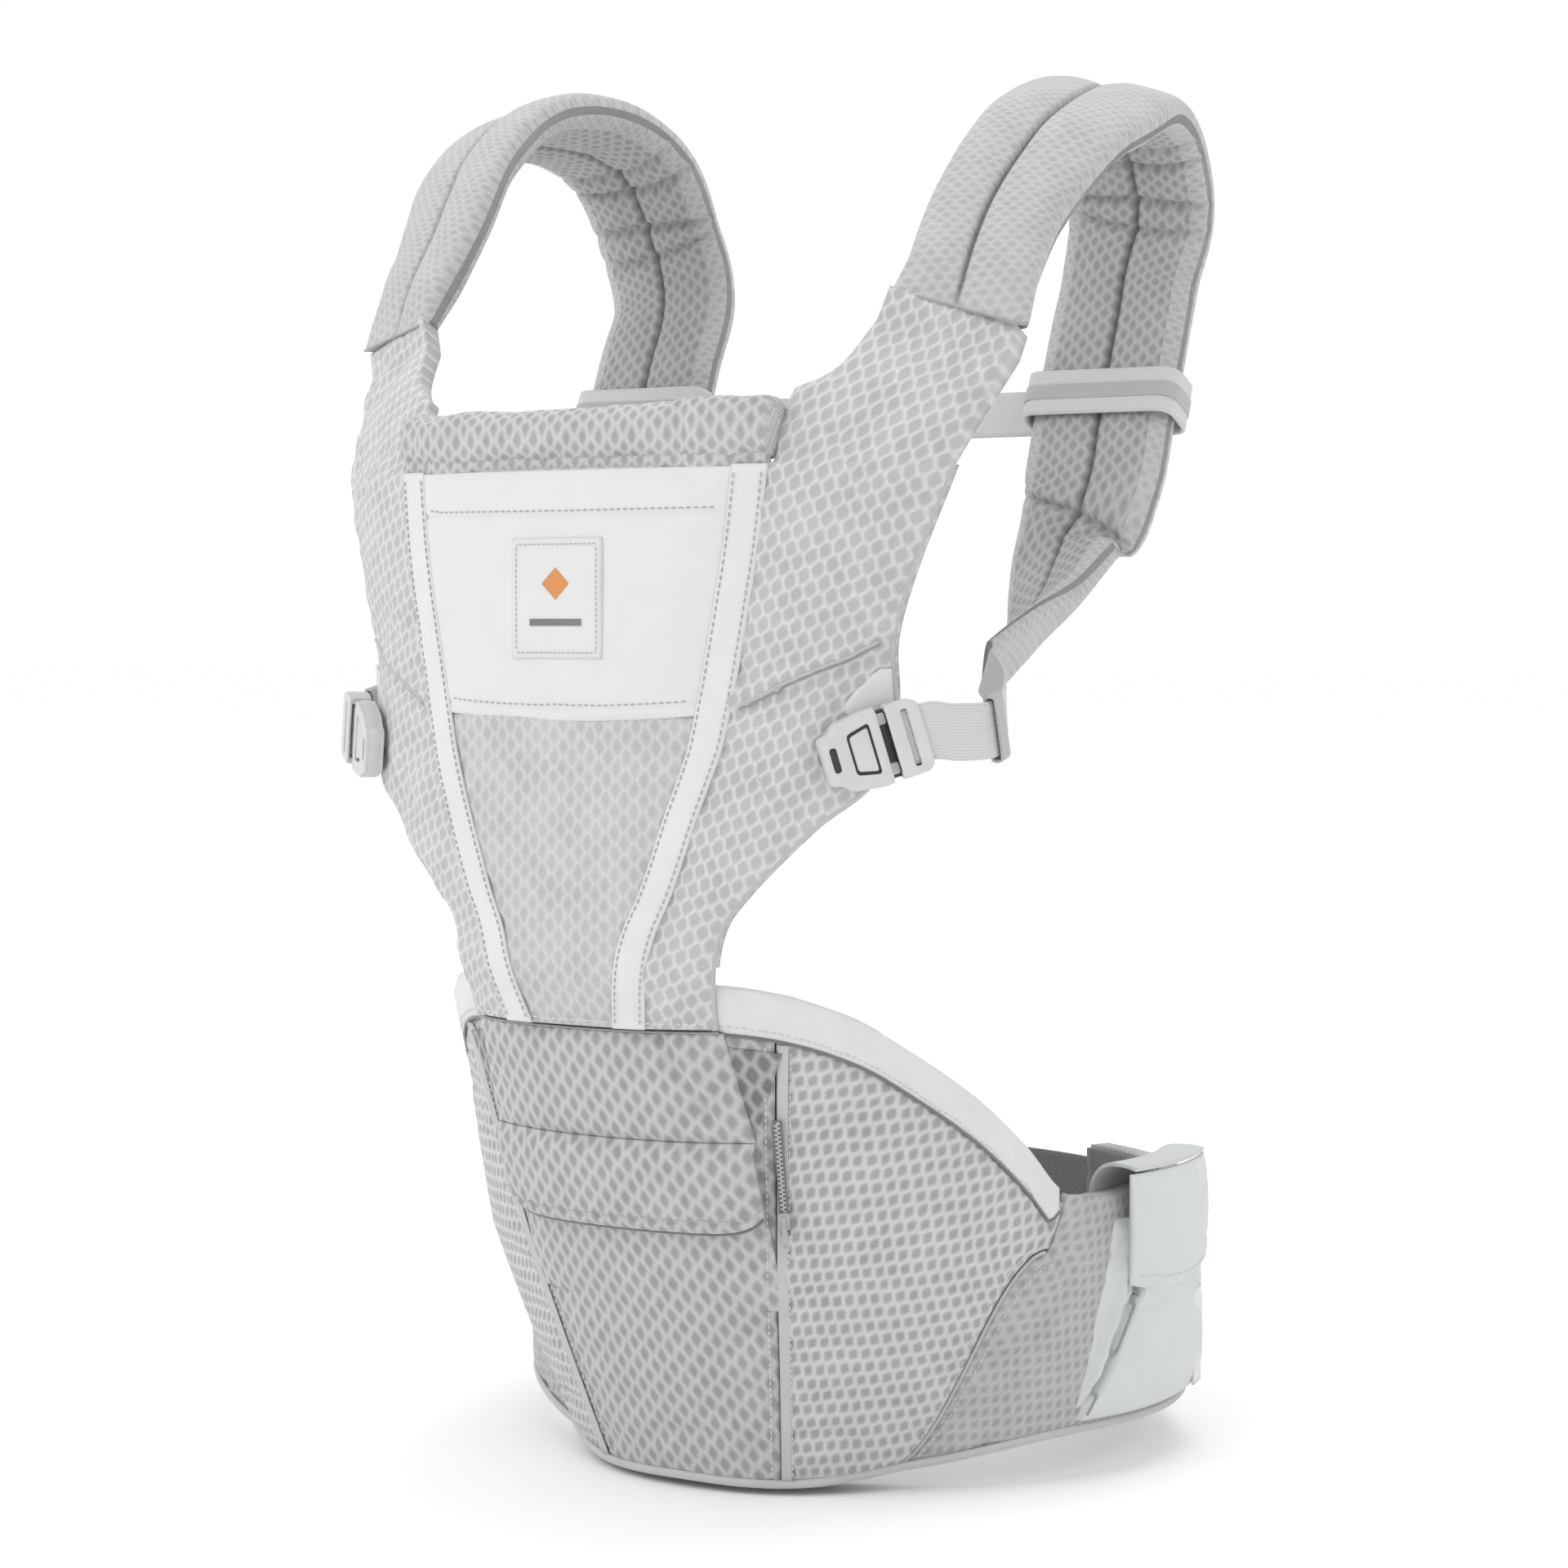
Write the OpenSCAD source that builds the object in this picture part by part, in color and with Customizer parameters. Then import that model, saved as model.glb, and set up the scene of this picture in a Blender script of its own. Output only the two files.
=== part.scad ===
// Soft baby carrier with a hip seat: a padded waist belt with a seat at its front, a back panel for the
// child with a neck roll, two shoulder straps that close at the sides, and a strap across the wearer's back.
// +Z is up, the front of the carrier faces -Y, the wearer stands inside the belt.

/* [Waist belt] */
// Half of the belt's width, side to side
belt_half_w = 172; // [168:1:176]
// Half of the belt's depth, without the seat
belt_half_d = 146; // [142:1:150]
// Thickness of the padded belt
belt_pad = 13; // [11:1:14]
// How far the seat stands out at the foot of the belt
seat_foot_out = 22; // [18:1:26]
// How much further the seat stands out for each millimetre of height
seat_flare = 0.384; // [0.36:0.01:0.4]
// How far the seat's sides swell out at their top
side_swell = 7; // [4:1:8]
// Height of the smooth band round the top of the seat
rim_h = 22; // [18:1:24]

/* [Panel] */
// Thickness of the panel's outer layer
panel_skin = 4; // [3:0.5:4.5]
// Thickness of the padded layer against the child
panel_liner = 6; // [4:0.5:7]
// Height of the neck roll
roll_h = 26; // [22:1:27]
// Depth of the neck roll
roll_d = 24; // [20:1:26]

/* [Straps] */
// Thickness of a shoulder strap's padding
strap_t = 22; // [18:1:24]
// Width of the side and back webbing
web_w = 25; // [24:1:26]
// Thickness of the webbing
web_t = 1.6; // [1.2:0.1:1.8]
// Width of the waist webbing
waist_web_w = 38; // [36:1:40]

/* [Buckles] */
// Length of a buckle's socket half
socket_l = 30; // [28:1:32]
// Thickness of a buckle
buckle_t = 10; // [9:0.5:11]
// Gap between a buckle's prongs and its socket
slide_gap = 0.4; // [0.35:0.05:0.6]

/* [Hidden] */
mesh_grey = [0.76, 0.76, 0.76];
smooth_grey = [0.84, 0.85, 0.85];
pale_cloth = [0.89, 0.91, 0.91];
dark_lining = [0.41, 0.40, 0.38];
web_grey = [0.82, 0.82, 0.82];

// ---- curves through a few chosen values -----------------------------------------------------------
function mix(a, b, t) = a + (b - a) * t;
function steps(a, b, n) = [for (i = [0:n]) mix(a, b, i / n)];
function slope(tb, i, k) = let (a = max(i - 1, 0), b = min(i + 1, len(tb) - 1))
    (tb[b][k] - tb[a][k]) / (tb[b][0] - tb[a][0]);
function span(tb, x, i = 0) = (i >= len(tb) - 2 || x < tb[i + 1][0]) ? i : span(tb, x, i + 1);
function hermite(p, q, m, n, s) = (2*s*s*s - 3*s*s + 1) * p + (s*s*s - 2*s*s + s) * m
    + (3*s*s - 2*s*s*s) * q + (s*s*s - s*s) * n;
function curve(tb, x, k = 1) = let (c = min(max(x, tb[0][0]), tb[len(tb) - 1][0]), i = span(tb, c),
    h = tb[i + 1][0] - tb[i][0])
    hermite(tb[i][k], tb[i + 1][k], h * slope(tb, i, k), h * slope(tb, i + 1, k), (c - tb[i][0]) / h);
function row(p, i) = p[min(max(i, 0), len(p) - 1)];
function along(p, t) = let (i = min(floor(t), len(p) - 2), s = t - i,
    a = row(p, i - 1), b = row(p, i), c = row(p, i + 1), d = row(p, i + 2))
    0.5 * (2*b + (c - a)*s + (2*a - 5*b + 4*c - d)*s*s + (3*b - a - 3*c + d)*s*s*s);
function unit(v) = v / norm(v);

// ---- closed solids from grids of points ----------------------------------------------------------
// Two triangles between four corners
function quad(a, b, c, d) = [[a, b, c], [a, c, d]];
// A layer of cloth: two grids of the same size, joined round their edges
module layer(outer, inner) {
    m = len(outer);
    n = len(outer[0]);
    o = function (i, j) i * n + j;
    p = function (i, j) m * n + i * n + j;
    pts = concat([for (r = outer) each r], [for (r = inner) each r]);
    faces = concat(
        [for (i = [0:m - 2], j = [0:n - 2]) each quad(o(i, j), o(i, j + 1), o(i + 1, j + 1), o(i + 1, j))],
        [for (i = [0:m - 2], j = [0:n - 2]) each quad(p(i, j), p(i + 1, j), p(i + 1, j + 1), p(i, j + 1))],
        [for (i = [0:m - 2]) each quad(o(i, 0), o(i + 1, 0), p(i + 1, 0), p(i, 0))],
        [for (i = [0:m - 2]) each quad(o(i, n - 1), p(i, n - 1), p(i + 1, n - 1), o(i + 1, n - 1))],
        [for (j = [0:n - 2]) each quad(o(0, j), p(0, j), p(0, j + 1), o(0, j + 1))],
        [for (j = [0:n - 2]) each quad(o(m - 1, j), o(m - 1, j + 1), p(m - 1, j + 1), p(m - 1, j))]);
    polyhedron(points = pts, faces = faces, convexity = 6);
}
// A solid through a row of rings with the same number of points
module loft(rings) {
    m = len(rings);
    n = len(rings[0]);
    q = function (i, j) i * n + j % n;
    faces = concat(
        [for (i = [0:m - 2], j = [0:n - 1]) each quad(q(i, j), q(i + 1, j), q(i + 1, j + 1), q(i, j + 1))],
        [for (j = [1:n - 2]) [0, j, j + 1]],
        [for (j = [1:n - 2]) [q(m - 1, 0), q(m - 1, j + 1), q(m - 1, j)]]);
    polyhedron(points = [for (r = rings) each r], faces = faces, convexity = 6);
}

// ---- the belt's surface: an angle round the wearer and a height ----------------------------------
// Top edge of the belt and seat: angle from the front, height
rim_line = [[0, 246], [20, 245], [30, 240], [38, 228], [44, 211], [51, 187], [57, 161], [62, 137],
    [70, 131], [90, 132], [120, 128], [180, 125]];
// Bottom edge of the belt
foot_line = [[0, 0], [20, 0], [35, 7], [60, 18], [90, 19], [180, 20]];
seat_end = 66;
seat_start = 30;
seat_spread = 0.33;
function rim_z(t) = curve(rim_line, min(abs(t), 360 - abs(t)));
function foot_z(t) = curve(foot_line, min(abs(t), 360 - abs(t)));
function seat_reach(z) = min(seat_end, seat_start + z * seat_spread);
function seat_shape(t, z) = let (q = abs(t) / seat_reach(z)) q < 1 ? cos(90 * pow(q, 1.5)) : 0;
function swell(t, z) = let (q = (abs(t) - 25) / 55)
    q > 0 && q < 1 ? side_swell * max(z, 0) / 230 * pow(sin(180 * q), 2) : 0;
function on_belt(t, z, out = 0) = [(belt_half_w + out + swell(t, z)) * sin(t),
    -(belt_half_d + out) * cos(t) - (seat_foot_out + seat_flare * z) * seat_shape(t, z), z];
function on_ring(t, z, out = 0) = [(belt_half_w + out) * sin(t), -(belt_half_d + out) * cos(t), z];
// The rim band narrows away where the seat meets the plain belt
function rim_band(t) = rim_h * min(1, max(0, (63 - abs(t)) / 3));
function cover_z(t, v) = mix(foot_z(t), rim_z(t) - rim_band(t) - 0.5, v);
// Seams: the front cover's side seam and the slanting seam behind it
function front_seam(v) = 15.8 + 15 * v - 2.4 * v * v;
function slant_seam(v) = 30.5 + 32 * pow(v, 0.6);
skin_t = 5;
core_off = skin_t + 2.5;
core_end = 53;
belly_z = [[0, 181], [25, 174], [45, 152], [57, 137], [66, 130]];
function belly_top(t) = curve(belly_z, abs(t));
module belt_skin(a, b, na, nv, out, in) {
    grid = function (off) [for (v = steps(0, 1, nv)) [for (s = steps(0, 1, na))
        let (t = mix(a(v), b(v), s)) on_belt(t, cover_z(t, v), off)]];
    layer(grid(out), grid(in));
}

module seat_core() {
    top = function (t) rim_z(t) - 10;
    color("gainsboro") layer(
        [for (v = steps(0, 1, 10)) [for (t = steps(-core_end, core_end, 38))
            on_belt(t, mix(foot_z(t) + 4, top(t), v), -core_off)]],
        [for (v = steps(0, 1, 10)) [for (t = steps(-core_end, core_end, 38))
            on_ring(t, mix(foot_z(t) + 4, belly_top(t) - 10, v), -belt_pad)]]);
}
module seat_top() {
    edge = function (t, s, up) mix(on_belt(t, rim_z(t), -core_off),
        on_ring(t, belly_top(t), -belt_pad), s) + [0, 0, up];
    color(smooth_grey) layer(
        [for (s = steps(0, 1, 5)) [for (t = steps(-core_end, core_end, 26)) edge(t, s, 0)]],
        [for (s = steps(0, 1, 5)) [for (t = steps(-core_end, core_end, 26)) edge(t, s, -5)]]);
}
module seat_rim() {
    ends = 61.5;
    grid = function (off) [for (v = steps(0, 1, 3)) [for (t = steps(-ends, ends, 82))
        on_belt(t, rim_z(t) - (1 - v) * rim_band(t), off)]];
    color(smooth_grey) layer(grid(0), grid(-skin_t));
}
module front_cover() color(mesh_grey) belt_skin(function (v) -front_seam(v), function (v) front_seam(v),
    16, 8, 0, -skin_t);
module side_cover() color(mesh_grey) belt_skin(function (v) front_seam(v) + 0.3,
    function (v) slant_seam(v) - 0.3, 26, 6, 0, -skin_t);
module side_cover_right() side_cover();
module side_cover_left() mirror([1, 0, 0]) side_cover();
pad_end = 150;
module belt_pad() {
    thick = function (t) skin_t + (belt_pad - 0.5 - skin_t) * min(1, max(0, (t - 62) / 8));
    grid = function (deep) [for (v = steps(0, 1, 9)) [for (s = steps(0, 1, 44))
        let (t = mix(slant_seam(v) + 0.3, pad_end, s)) on_belt(t, cover_z(t, v), -deep * thick(t))]];
    color(mesh_grey) layer(grid(0), grid(1));
}
module belt_pad_right() belt_pad();
module belt_pad_left() mirror([1, 0, 0]) belt_pad();
lining_t = 2.5;
module belt_lining() {
    top = function (t) (abs(t) < 66 ? min(belly_top(t), rim_z(t)) : rim_z(t)) - 2;
    grid = function (off) [for (v = steps(0, 1, 2)) [for (t = steps(-pad_end, pad_end, 50))
        on_ring(t, mix(foot_z(t) + 5, top(t), v), off)]];
    color(dark_lining) layer(grid(-belt_pad - 0.5), grid(-belt_pad - 0.5 - lining_t));
}
module bottom_binding() {
    grid = function (off) [for (v = [0, 1]) [for (t = steps(-pad_end, pad_end, 60))
        on_belt(t, foot_z(t) + 0.5 + 4 * v, off)]];
    color(smooth_grey) layer(grid(1.9), grid(0.4));
}

// ---- pouch on the wearer's left side of the belt --------------------------------------------------
pouch_to = 112;
module side_pouch() {
    start = function (v) 62 + 7 * v * v;
    grid = function (off) [for (v = steps(0, 1, 6)) [for (s = steps(0, 1, 14))
        on_ring(mix(start(v), pouch_to, s), 25 + 94 * v, off)]];
    color(pale_cloth) layer(grid(9), grid(2.6));
}
flap_hinge_t = 88;
flap_span = 15;
module pouch_flap() {
    grid = function (off) [for (v = steps(0, 1, 4)) [for (t = steps(flap_hinge_t - flap_span,
        flap_hinge_t + flap_span, 12)) let (q = (t - flap_hinge_t) / flap_span)
        on_ring(t, 141 - (59 - 6 * q * q) * v, off)]];
    color(pale_cloth) layer(grid(12.3), grid(9.6));
}
// The strip that carries the flap: off the belt's surface and height, outside then inside
flap_over = [[-18.4, 118], [-18.2, 134.4], [-9, 143.6], [3, 145], [11.4, 143.8]];
flap_under = [[-16.9, 118], [-16.7, 133.8], [-8.6, 141.9], [3, 143.3], [11, 142.2]];
module flap_root() {
    grid = function (line) [for (p = line) [for (t = steps(flap_hinge_t - flap_span + 1,
        flap_hinge_t + flap_span - 1, 10)) on_ring(t, p[1], p[0])]];
    color(pale_cloth) layer(grid(flap_over), grid(flap_under));
}
module pouch_label() {
    grid = function (off) [for (v = [0, 1]) [for (t = steps(96, 102, 3)) on_ring(t, 28 + 48 * v, off)]];
    color("white") layer(grid(10.2), grid(9.4));
}

// ---- closure behind the wearer -------------------------------------------------------------------
module closure_hook() {
    grid = function (off) [for (v = [0, 1]) [for (t = steps(-pad_end - 0.4, -194, 12))
        on_ring(t, 42 + 74 * v, off)]];
    color(dark_lining) layer(grid(-3), grid(-6.5));
}
module closure_loop() {
    grid = function (off) [for (v = [0, 1]) [for (t = steps(pad_end + 0.4, 188, 10))
        on_ring(t, 40 + 78 * v, off)]];
    color(dark_lining) layer(grid(-7.5), grid(-11));
}

// ---- webbing and side-release buckles -------------------------------------------------------------
// A strip of webbing through points [x, y, z], with its width along across(i)
module strip(pts, across, w, t) {
    m = len(pts);
    loft([for (i = [0:m - 1])
        let (dir = unit(row(pts, i + 1) - row(pts, i - 1)), a = across(i / (m - 1)),
            side = unit(a - (a * dir) * dir), up = cross(dir, side))
        [for (c = [[-1, -1], [1, -1], [1, 1], [-1, 1]]) pts[i] + side * c[0] * w / 2 + up * c[1] * t / 2]]);
}
// One prong: length, width, thickness
prong_l = 17;
prong_w = 5.6;
prong_t = 4;
// Height of the opening that the prongs slide in
prong_space = prong_t + 2 * slide_gap;
// Level of the webbing inside a buckle's plug half
web_level = 3.1;
// Socket half: x from -socket_l to 0, width along y, a mouth at x = 0
module socket(w) difference() {
    hull() {
        translate([-6, 0, 0]) cube([12, w + 9, buckle_t - 1], center = true);
        translate([-socket_l + 4, 0, 0]) cube([8, w + 5, buckle_t - 2], center = true);
    }
    translate([-prong_l / 2 - 0.5, 0, 0])
        cube([prong_l + 2, w + 3.2 + 2 * slide_gap, prong_space], center = true);
    for (s = [-1, 1]) translate([-12, s * (w / 2 + 4), 0]) cube([9, 6, prong_space], center = true);
    translate([-socket_l + 6, 0, 0]) cube([4, w - 1, buckle_t + 2], center = true);
}
// Plug half: prongs into the socket, and a body that the webbing runs through
module plug(w) {
    difference() {
        translate([0.8, -w / 2 - 4, -buckle_t / 2 + 0.5]) cube([16, w + 8, buckle_t + 0.8]);
        translate([-1, -w / 2 - 0.5, web_level - 1.6]) cube([20, w + 1, 3.2]);
        translate([5, -w / 2 - 0.5, web_level]) cube([3, w + 1, 6]);
        translate([11, -w / 2 - 0.5, web_level]) cube([3, w + 1, 6]);
    }
    for (s = [-1, 1]) translate([-prong_l / 2 + 1, s * (w / 2 - 1.4), 0])
        cube([prong_l, prong_w, prong_t], center = true);
}
// Side buckles: place of the socket's mouth on the right, and its pull axis
side_at = [141, -229, 352];
side_turn = 41;
side_tilt = 17;
side_axis = [cos(side_tilt) * cos(side_turn), cos(side_tilt) * sin(side_turn), sin(side_tilt)];
module at_side() translate(side_at) rotate([0, 0, side_turn]) rotate([0, -side_tilt, 0])
    rotate([90, 0, 0]) children();
module side_socket_right() color(web_grey) at_side() socket(web_w);
module side_plug_right() color(web_grey) at_side() plug(web_w);
module side_socket_left() mirror([1, 0, 0]) side_socket_right();
module side_plug_left() mirror([1, 0, 0]) side_plug_right();
side_across = [-sin(side_tilt) * cos(side_turn), -sin(side_tilt) * sin(side_turn), cos(side_tilt)];
side_out = [sin(side_turn), -cos(side_turn), 0];

// ---- panel: a share of the half width and a height ------------------------------------------------
// Height, half width, place of the side edge, place of the middle
panel_line = [[225, 64, -246, -262], [251, 67, -254, -271], [271, 72, -254, -271], [285, 83, -253, -270],
    [301, 98, -249, -269], [316, 112, -241, -269], [331, 129, -231, -268], [351, 137, -221, -267],
    [371, 138, -219, -267], [396, 139, -222, -267], [426, 147, -220, -267], [476, 163, -209, -266],
    [516, 172, -197, -264], [544, 176, -184, -262]];
panel_z0 = 225;
panel_z1 = 472;
function on_panel(u, z, out = 0) = [curve(panel_line, z, 1) * u,
    mix(curve(panel_line, z, 3), curve(panel_line, z, 2), pow(abs(u), 3)) - out, z];
// The tapes' distance from the middle, from the panel's foot up
tape_line = [[225, 29], [248, 34], [268, 39], [286, 47], [317, 58], [346, 68], [364, 72], [401, 79],
    [436, 85], [482, 90]];
function tape_x(z) = curve(tape_line, z);
tape_w = 15;
function panel_x(x, z, out) = on_panel(x / curve(panel_line, z, 1), z, out);
module panel_piece(x0, x1, z0, z1, nx, nz, out, in) {
    grid = function (off) [for (z = steps(z0, z1, nz)) [for (s = steps(0, 1, nx))
        panel_x(mix(x0(z), x1(z), s), z, off)]];
    layer(grid(out), grid(in));
}
module panel_center() color(mesh_grey) panel_piece(function (z) -tape_x(z) + 0.3,
    function (z) tape_x(z) - 0.3, panel_z0, panel_z1, 8, 18, 0, -panel_skin);
module edge_tape_right() color(smooth_grey) panel_piece(function (z) tape_x(z) - tape_w / 2,
    function (z) tape_x(z) + tape_w / 2, panel_z0, panel_z1, 3, 24, 1.8, 0.5);
module edge_tape_left() mirror([1, 0, 0]) edge_tape_right();
module pocket_panel() color(pale_cloth) panel_piece(function (z) -tape_x(z) + tape_w / 2 + 0.6,
    function (z) tape_x(z) - tape_w / 2 - 0.6, 362, 470, 8, 8, 2.2, 0.5);
module pocket_hem() color(pale_cloth) panel_piece(function (z) -tape_x(z) + tape_w / 2 + 0.8,
    function (z) tape_x(z) - tape_w / 2 - 0.8, 452, 469, 8, 2, 3.6, 2.7);
module front_label() color("white") panel_piece(function (z) -25, function (z) 22, 388, 441, 3, 3, 3.3, 2.6);
module panel_liner() color(mesh_grey) panel_piece(function (z) -curve(panel_line, z, 1) + 0.5,
    function (z) curve(panel_line, z, 1) - 0.5, panel_z0 + 28, panel_z1, 18, 24,
    -panel_skin - 0.6, -panel_skin - 0.6 - panel_liner);
// The wing climbs past the panel's top to the strap's seam, which slants down to the outside
wing_top = 551;
wing_slant = 16;
wing_in = [[472, 96.6], [505, 97], [510, 106], [517, 113], [534, 120], [551, 126]];
wing_out = [[472, 161.7], [500, 168.5], [516, 172], [551, 178]];
function wing_rise(z) = max(0, (z - panel_z1) / (wing_top - panel_z1));
module panel_wing_right() {
    inner = function (z) z < panel_z1 ? tape_x(z) + 0.3 : curve(wing_in, z);
    outer = function (z) z < panel_z1 ? curve(panel_line, z, 1) : curve(wing_out, z);
    place = function (x, z, off) z < panel_z1 ? panel_x(x, z, off) :
        mix(panel_x(x * curve(panel_line, panel_z1, 1) / outer(z), panel_z1, off),
            [0, -190 + (x - 150) * 0.49 - off, 0], min(1, (z - panel_z1) / 64));
    levels = concat(steps(panel_z0, 400, 14), steps(410, wing_top, 14));
    grid = function (off, more) [for (z = levels) [for (s = steps(0, 1, 8))
        let (x = mix(inner(z), outer(z), s), deep = more * wing_rise(z), p = place(x, z, off - deep))
        [x, p[1], z - wing_slant * s * wing_rise(z) - 0.6 * deep]]];
    color(mesh_grey) layer(grid(0, 0), grid(-panel_skin, 10));
}
module panel_wing_left() mirror([1, 0, 0]) panel_wing_right();
// A smooth patch on the wing behind the side buckle
module buckle_tab_right() color(smooth_grey) panel_piece(function (z) 121 - 0.1 * (z - 350),
    function (z) 139, 329, 377, 4, 8, 1.7, 0.5);
module buckle_tab_left() mirror([1, 0, 0]) buckle_tab_right();
roll_half = 93.1;
roll_y = -255;
roll_z = panel_z1 + 1.5;
module neck_roll() {
    ring = function (x, k) [for (a = [0:30:330]) [x, roll_y + k * roll_d / 2 * cos(a),
        roll_z + roll_h / 2 + k * roll_h / 2 * sin(a)]];
    color(mesh_grey) loft([for (x = steps(-roll_half, roll_half, 16))
        ring(x, 1 - 0.16 * pow(abs(x) / roll_half, 6))]);
}

// ---- apron, flap pocket and zip on the front of the seat ------------------------------------------
module seat_piece(x0, x1, z0, z1, nx, nz, out, in) {
    grid = function (off) [for (z = steps(z0, z1, nz)) [for (x = steps(x0, x1, nx))
        on_belt(asin(x / (belt_half_w + off)), z, off)]];
    layer(grid(out), grid(in));
}
apron_half = 66;
flap_half = 69;
flap_top = 171;
flap_bottom = 129;
module apron() color(mesh_grey) seat_piece(-apron_half, apron_half, flap_top + 3, panel_z0 - 3, 14, 4, 5, 1);
module flap_pocket() color(mesh_grey)
    seat_piece(-flap_half + 2, flap_half - 2, 90, flap_top - 3, 14, 6, 4, 1);
module pocket_flap() color(mesh_grey)
    seat_piece(-flap_half, flap_half, flap_bottom, flap_top, 14, 4, 8.5, 5);
// Both ends of the zip, as a distance from the middle and a height
zip_foot = on_belt(asin(73.5 / belt_half_w), 128, 0);
zip_head = on_belt(asin(78 / belt_half_w), 182, 0);
zip_dir = unit(zip_head - zip_foot);
module zip_tape() color(dark_lining) strip([for (s = [0, 0.5, 1]) mix(zip_foot, zip_head, s)
    + [0.6, -2.2, 0]], function (u) [1, 0.45, 0], 5, 1.6);
module zip_slider() {
    at = zip_foot + zip_dir * 8 + [0.6, -4.4, 0];
    color("silver") {
        strip([at - zip_dir * 4, at, at + zip_dir * 4], function (u) [1, 0.45, 0], 5.5, 1.8);
        strip([at - zip_dir * 20 + [0.8, -1.9, 0], at - zip_dir * 4.5 + [0.8, -1.9, 0],
            at + zip_dir * 3 + [0.8, -1.9, 0]], function (u) [1, 0.45, 0], 3.6, 1.4);
    }
}

// ---- shoulder straps ------------------------------------------------------------------------------
// Route of a strap's middle: x, y, z, width, roll. The left strap differs a little over the shoulder.
strap_front_right = [[152, -182, 543, 58, 26], [153, -150, 585, 62, 20], [160, -116, 620, 68, 18],
    [160, -75, 639, 73, 15], [153, -29, 649, 75, 10], [146, 10, 637, 76, 4], [141, 35, 608, 75, 0]];
strap_front_left = [[151, -181, 545, 58, 26], [149, -154, 587, 62, 20], [153, -121, 626, 68, 18],
    [155, -79, 653, 73, 15], [148, -30, 658, 75, 10], [143, 11, 643, 76, 4], [141, 35, 610, 75, 0]];
strap_back = [[134, 38, 574, 74, 0], [134, 23, 538, 74, 0], [134, 8, 502, 74, 0], [134, -7, 466, 72, 0],
    [125, -13, 438, 62, 10], [131, -50, 409, 50, 34], [138, -95, 394, 37, 60], [143, -137, 383, 27, 78]];
line_right = concat(strap_front_right, strap_back);
line_left = concat(strap_front_left, strap_back);
strap_n = len(line_right) - 1;
function strap_at(p, t) = let (r = along(p, t)) [r[0], r[1], r[2]];
function strap_dir(p, t) = unit(strap_at(p, min(t + 0.05, strap_n)) - strap_at(p, max(t - 0.05, 0)));
function strap_side(p, t) = let (d = strap_dir(p, t), r = along(p, t)[4],
    x = unit([1, 0, 0] - d[0] * d), n = cross(d, x)) x * cos(r) + n * sin(r);
strap_thin = [[0, 0.72], [1, 1], [10, 1], [12, 0.8], [13, 0.5], [14, 0.22]];
module shoulder_strap(p) {
    ring = function (t) let (c = strap_at(p, t), s = strap_side(p, t), n = cross(strap_dir(p, t), s),
        th = strap_t * curve(strap_thin, t), w = along(p, t)[3])
        [for (a = [0:30:330]) c + s * w / 2 * sign(cos(a)) * pow(abs(cos(a)), 0.6)
            + n * th / 2 * sign(sin(a)) * pow(abs(sin(a)), 0.6)];
    color(mesh_grey) loft([for (t = steps(0, strap_n, 44)) ring(t)]);
}
module shoulder_strap_right() shoulder_strap(line_right);
module shoulder_strap_left() mirror([1, 0, 0]) shoulder_strap(line_left);
// Webbing: through the side buckle's plug, then round to the strap's end
web_lift = side_out * web_level;
strap_tip = strap_at(line_right, strap_n) + strap_dir(line_right, strap_n) * 3;
keeper_at = [169, -180, 358];
web_route = [side_at + side_axis * 3 + web_lift, side_at + side_axis * 19 + web_lift, [163, -204, 356.5],
    keeper_at, [159, -152, 368], strap_tip];
tip_side = strap_side(line_right, strap_n);
web_across = function (u) mix(side_across, tip_side, max(0, (u - 0.3) / 0.7));
module strap_web_right() color(web_grey) strip(
    [for (t = steps(0, len(web_route) - 1, 25)) along(web_route, t)], web_across, web_w, web_t);
module strap_web_left() mirror([1, 0, 0]) strap_web_right();
// A keeper of elastic round the webbing near the turn
module web_keeper_right() {
    dir = unit(web_route[4] - web_route[2]);
    a = web_across(3 / 5);
    side = unit(a - (a * dir) * dir);
    up = cross(dir, side);
    color(web_grey) multmatrix([for (k = [0:2]) [dir[k], side[k], up[k], keeper_at[k]]]) difference() {
        cube([9, web_w + 6, 6.4], center = true);
        cube([11, web_w + 2, 3.8], center = true);
    }
}
module web_keeper_left() mirror([1, 0, 0]) web_keeper_right();

// ---- strap across the wearer's back ---------------------------------------------------------------
// Middle of the strap where the loops sit, and the lean of that straight stretch
back_at = [0, 12.2, 512];
back_lean = atan(15 / 36);
sleeve_h = 24;
sleeve_x = 134;
sleeve_half_w = 38.4;
sleeve_half_d = strap_t / 2 + 1.4;
sleeve_r = 7;
band_t = 2.2;
back_y = 6;
module at_back() translate(back_at) rotate([-back_lean, 0, 0]) children();
module rounded_box(w, d, r, h) linear_extrude(height = h, center = true) offset(r = r, $fn = 32)
    square([w - 2 * r, d - 2 * r], center = true);
module back_sleeve_right() color(web_grey) at_back() translate([sleeve_x, 0, 0]) difference() {
    rounded_box(2 * (sleeve_half_w + band_t), 2 * (sleeve_half_d + band_t), sleeve_r + band_t, sleeve_h);
    rounded_box(2 * sleeve_half_w, 2 * sleeve_half_d, sleeve_r, sleeve_h + 2);
}
module back_sleeve_left() mirror([1, 0, 0]) back_sleeve_right();
module at_back_buckle() at_back() translate([-8, back_y, 0]) rotate([-90, 0, 0]) children();
module back_buckle_socket() color(web_grey) at_back_buckle() socket(web_w);
module back_buckle_plug() color(web_grey) at_back_buckle() plug(web_w);
sleeve_face = sleeve_x - sleeve_half_w - band_t - 0.1;
module back_web_right() color(web_grey) at_back()
    translate([-5, back_y + web_level - web_t / 2, -web_w / 2]) cube([sleeve_face + 5, web_t, web_w]);
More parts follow.
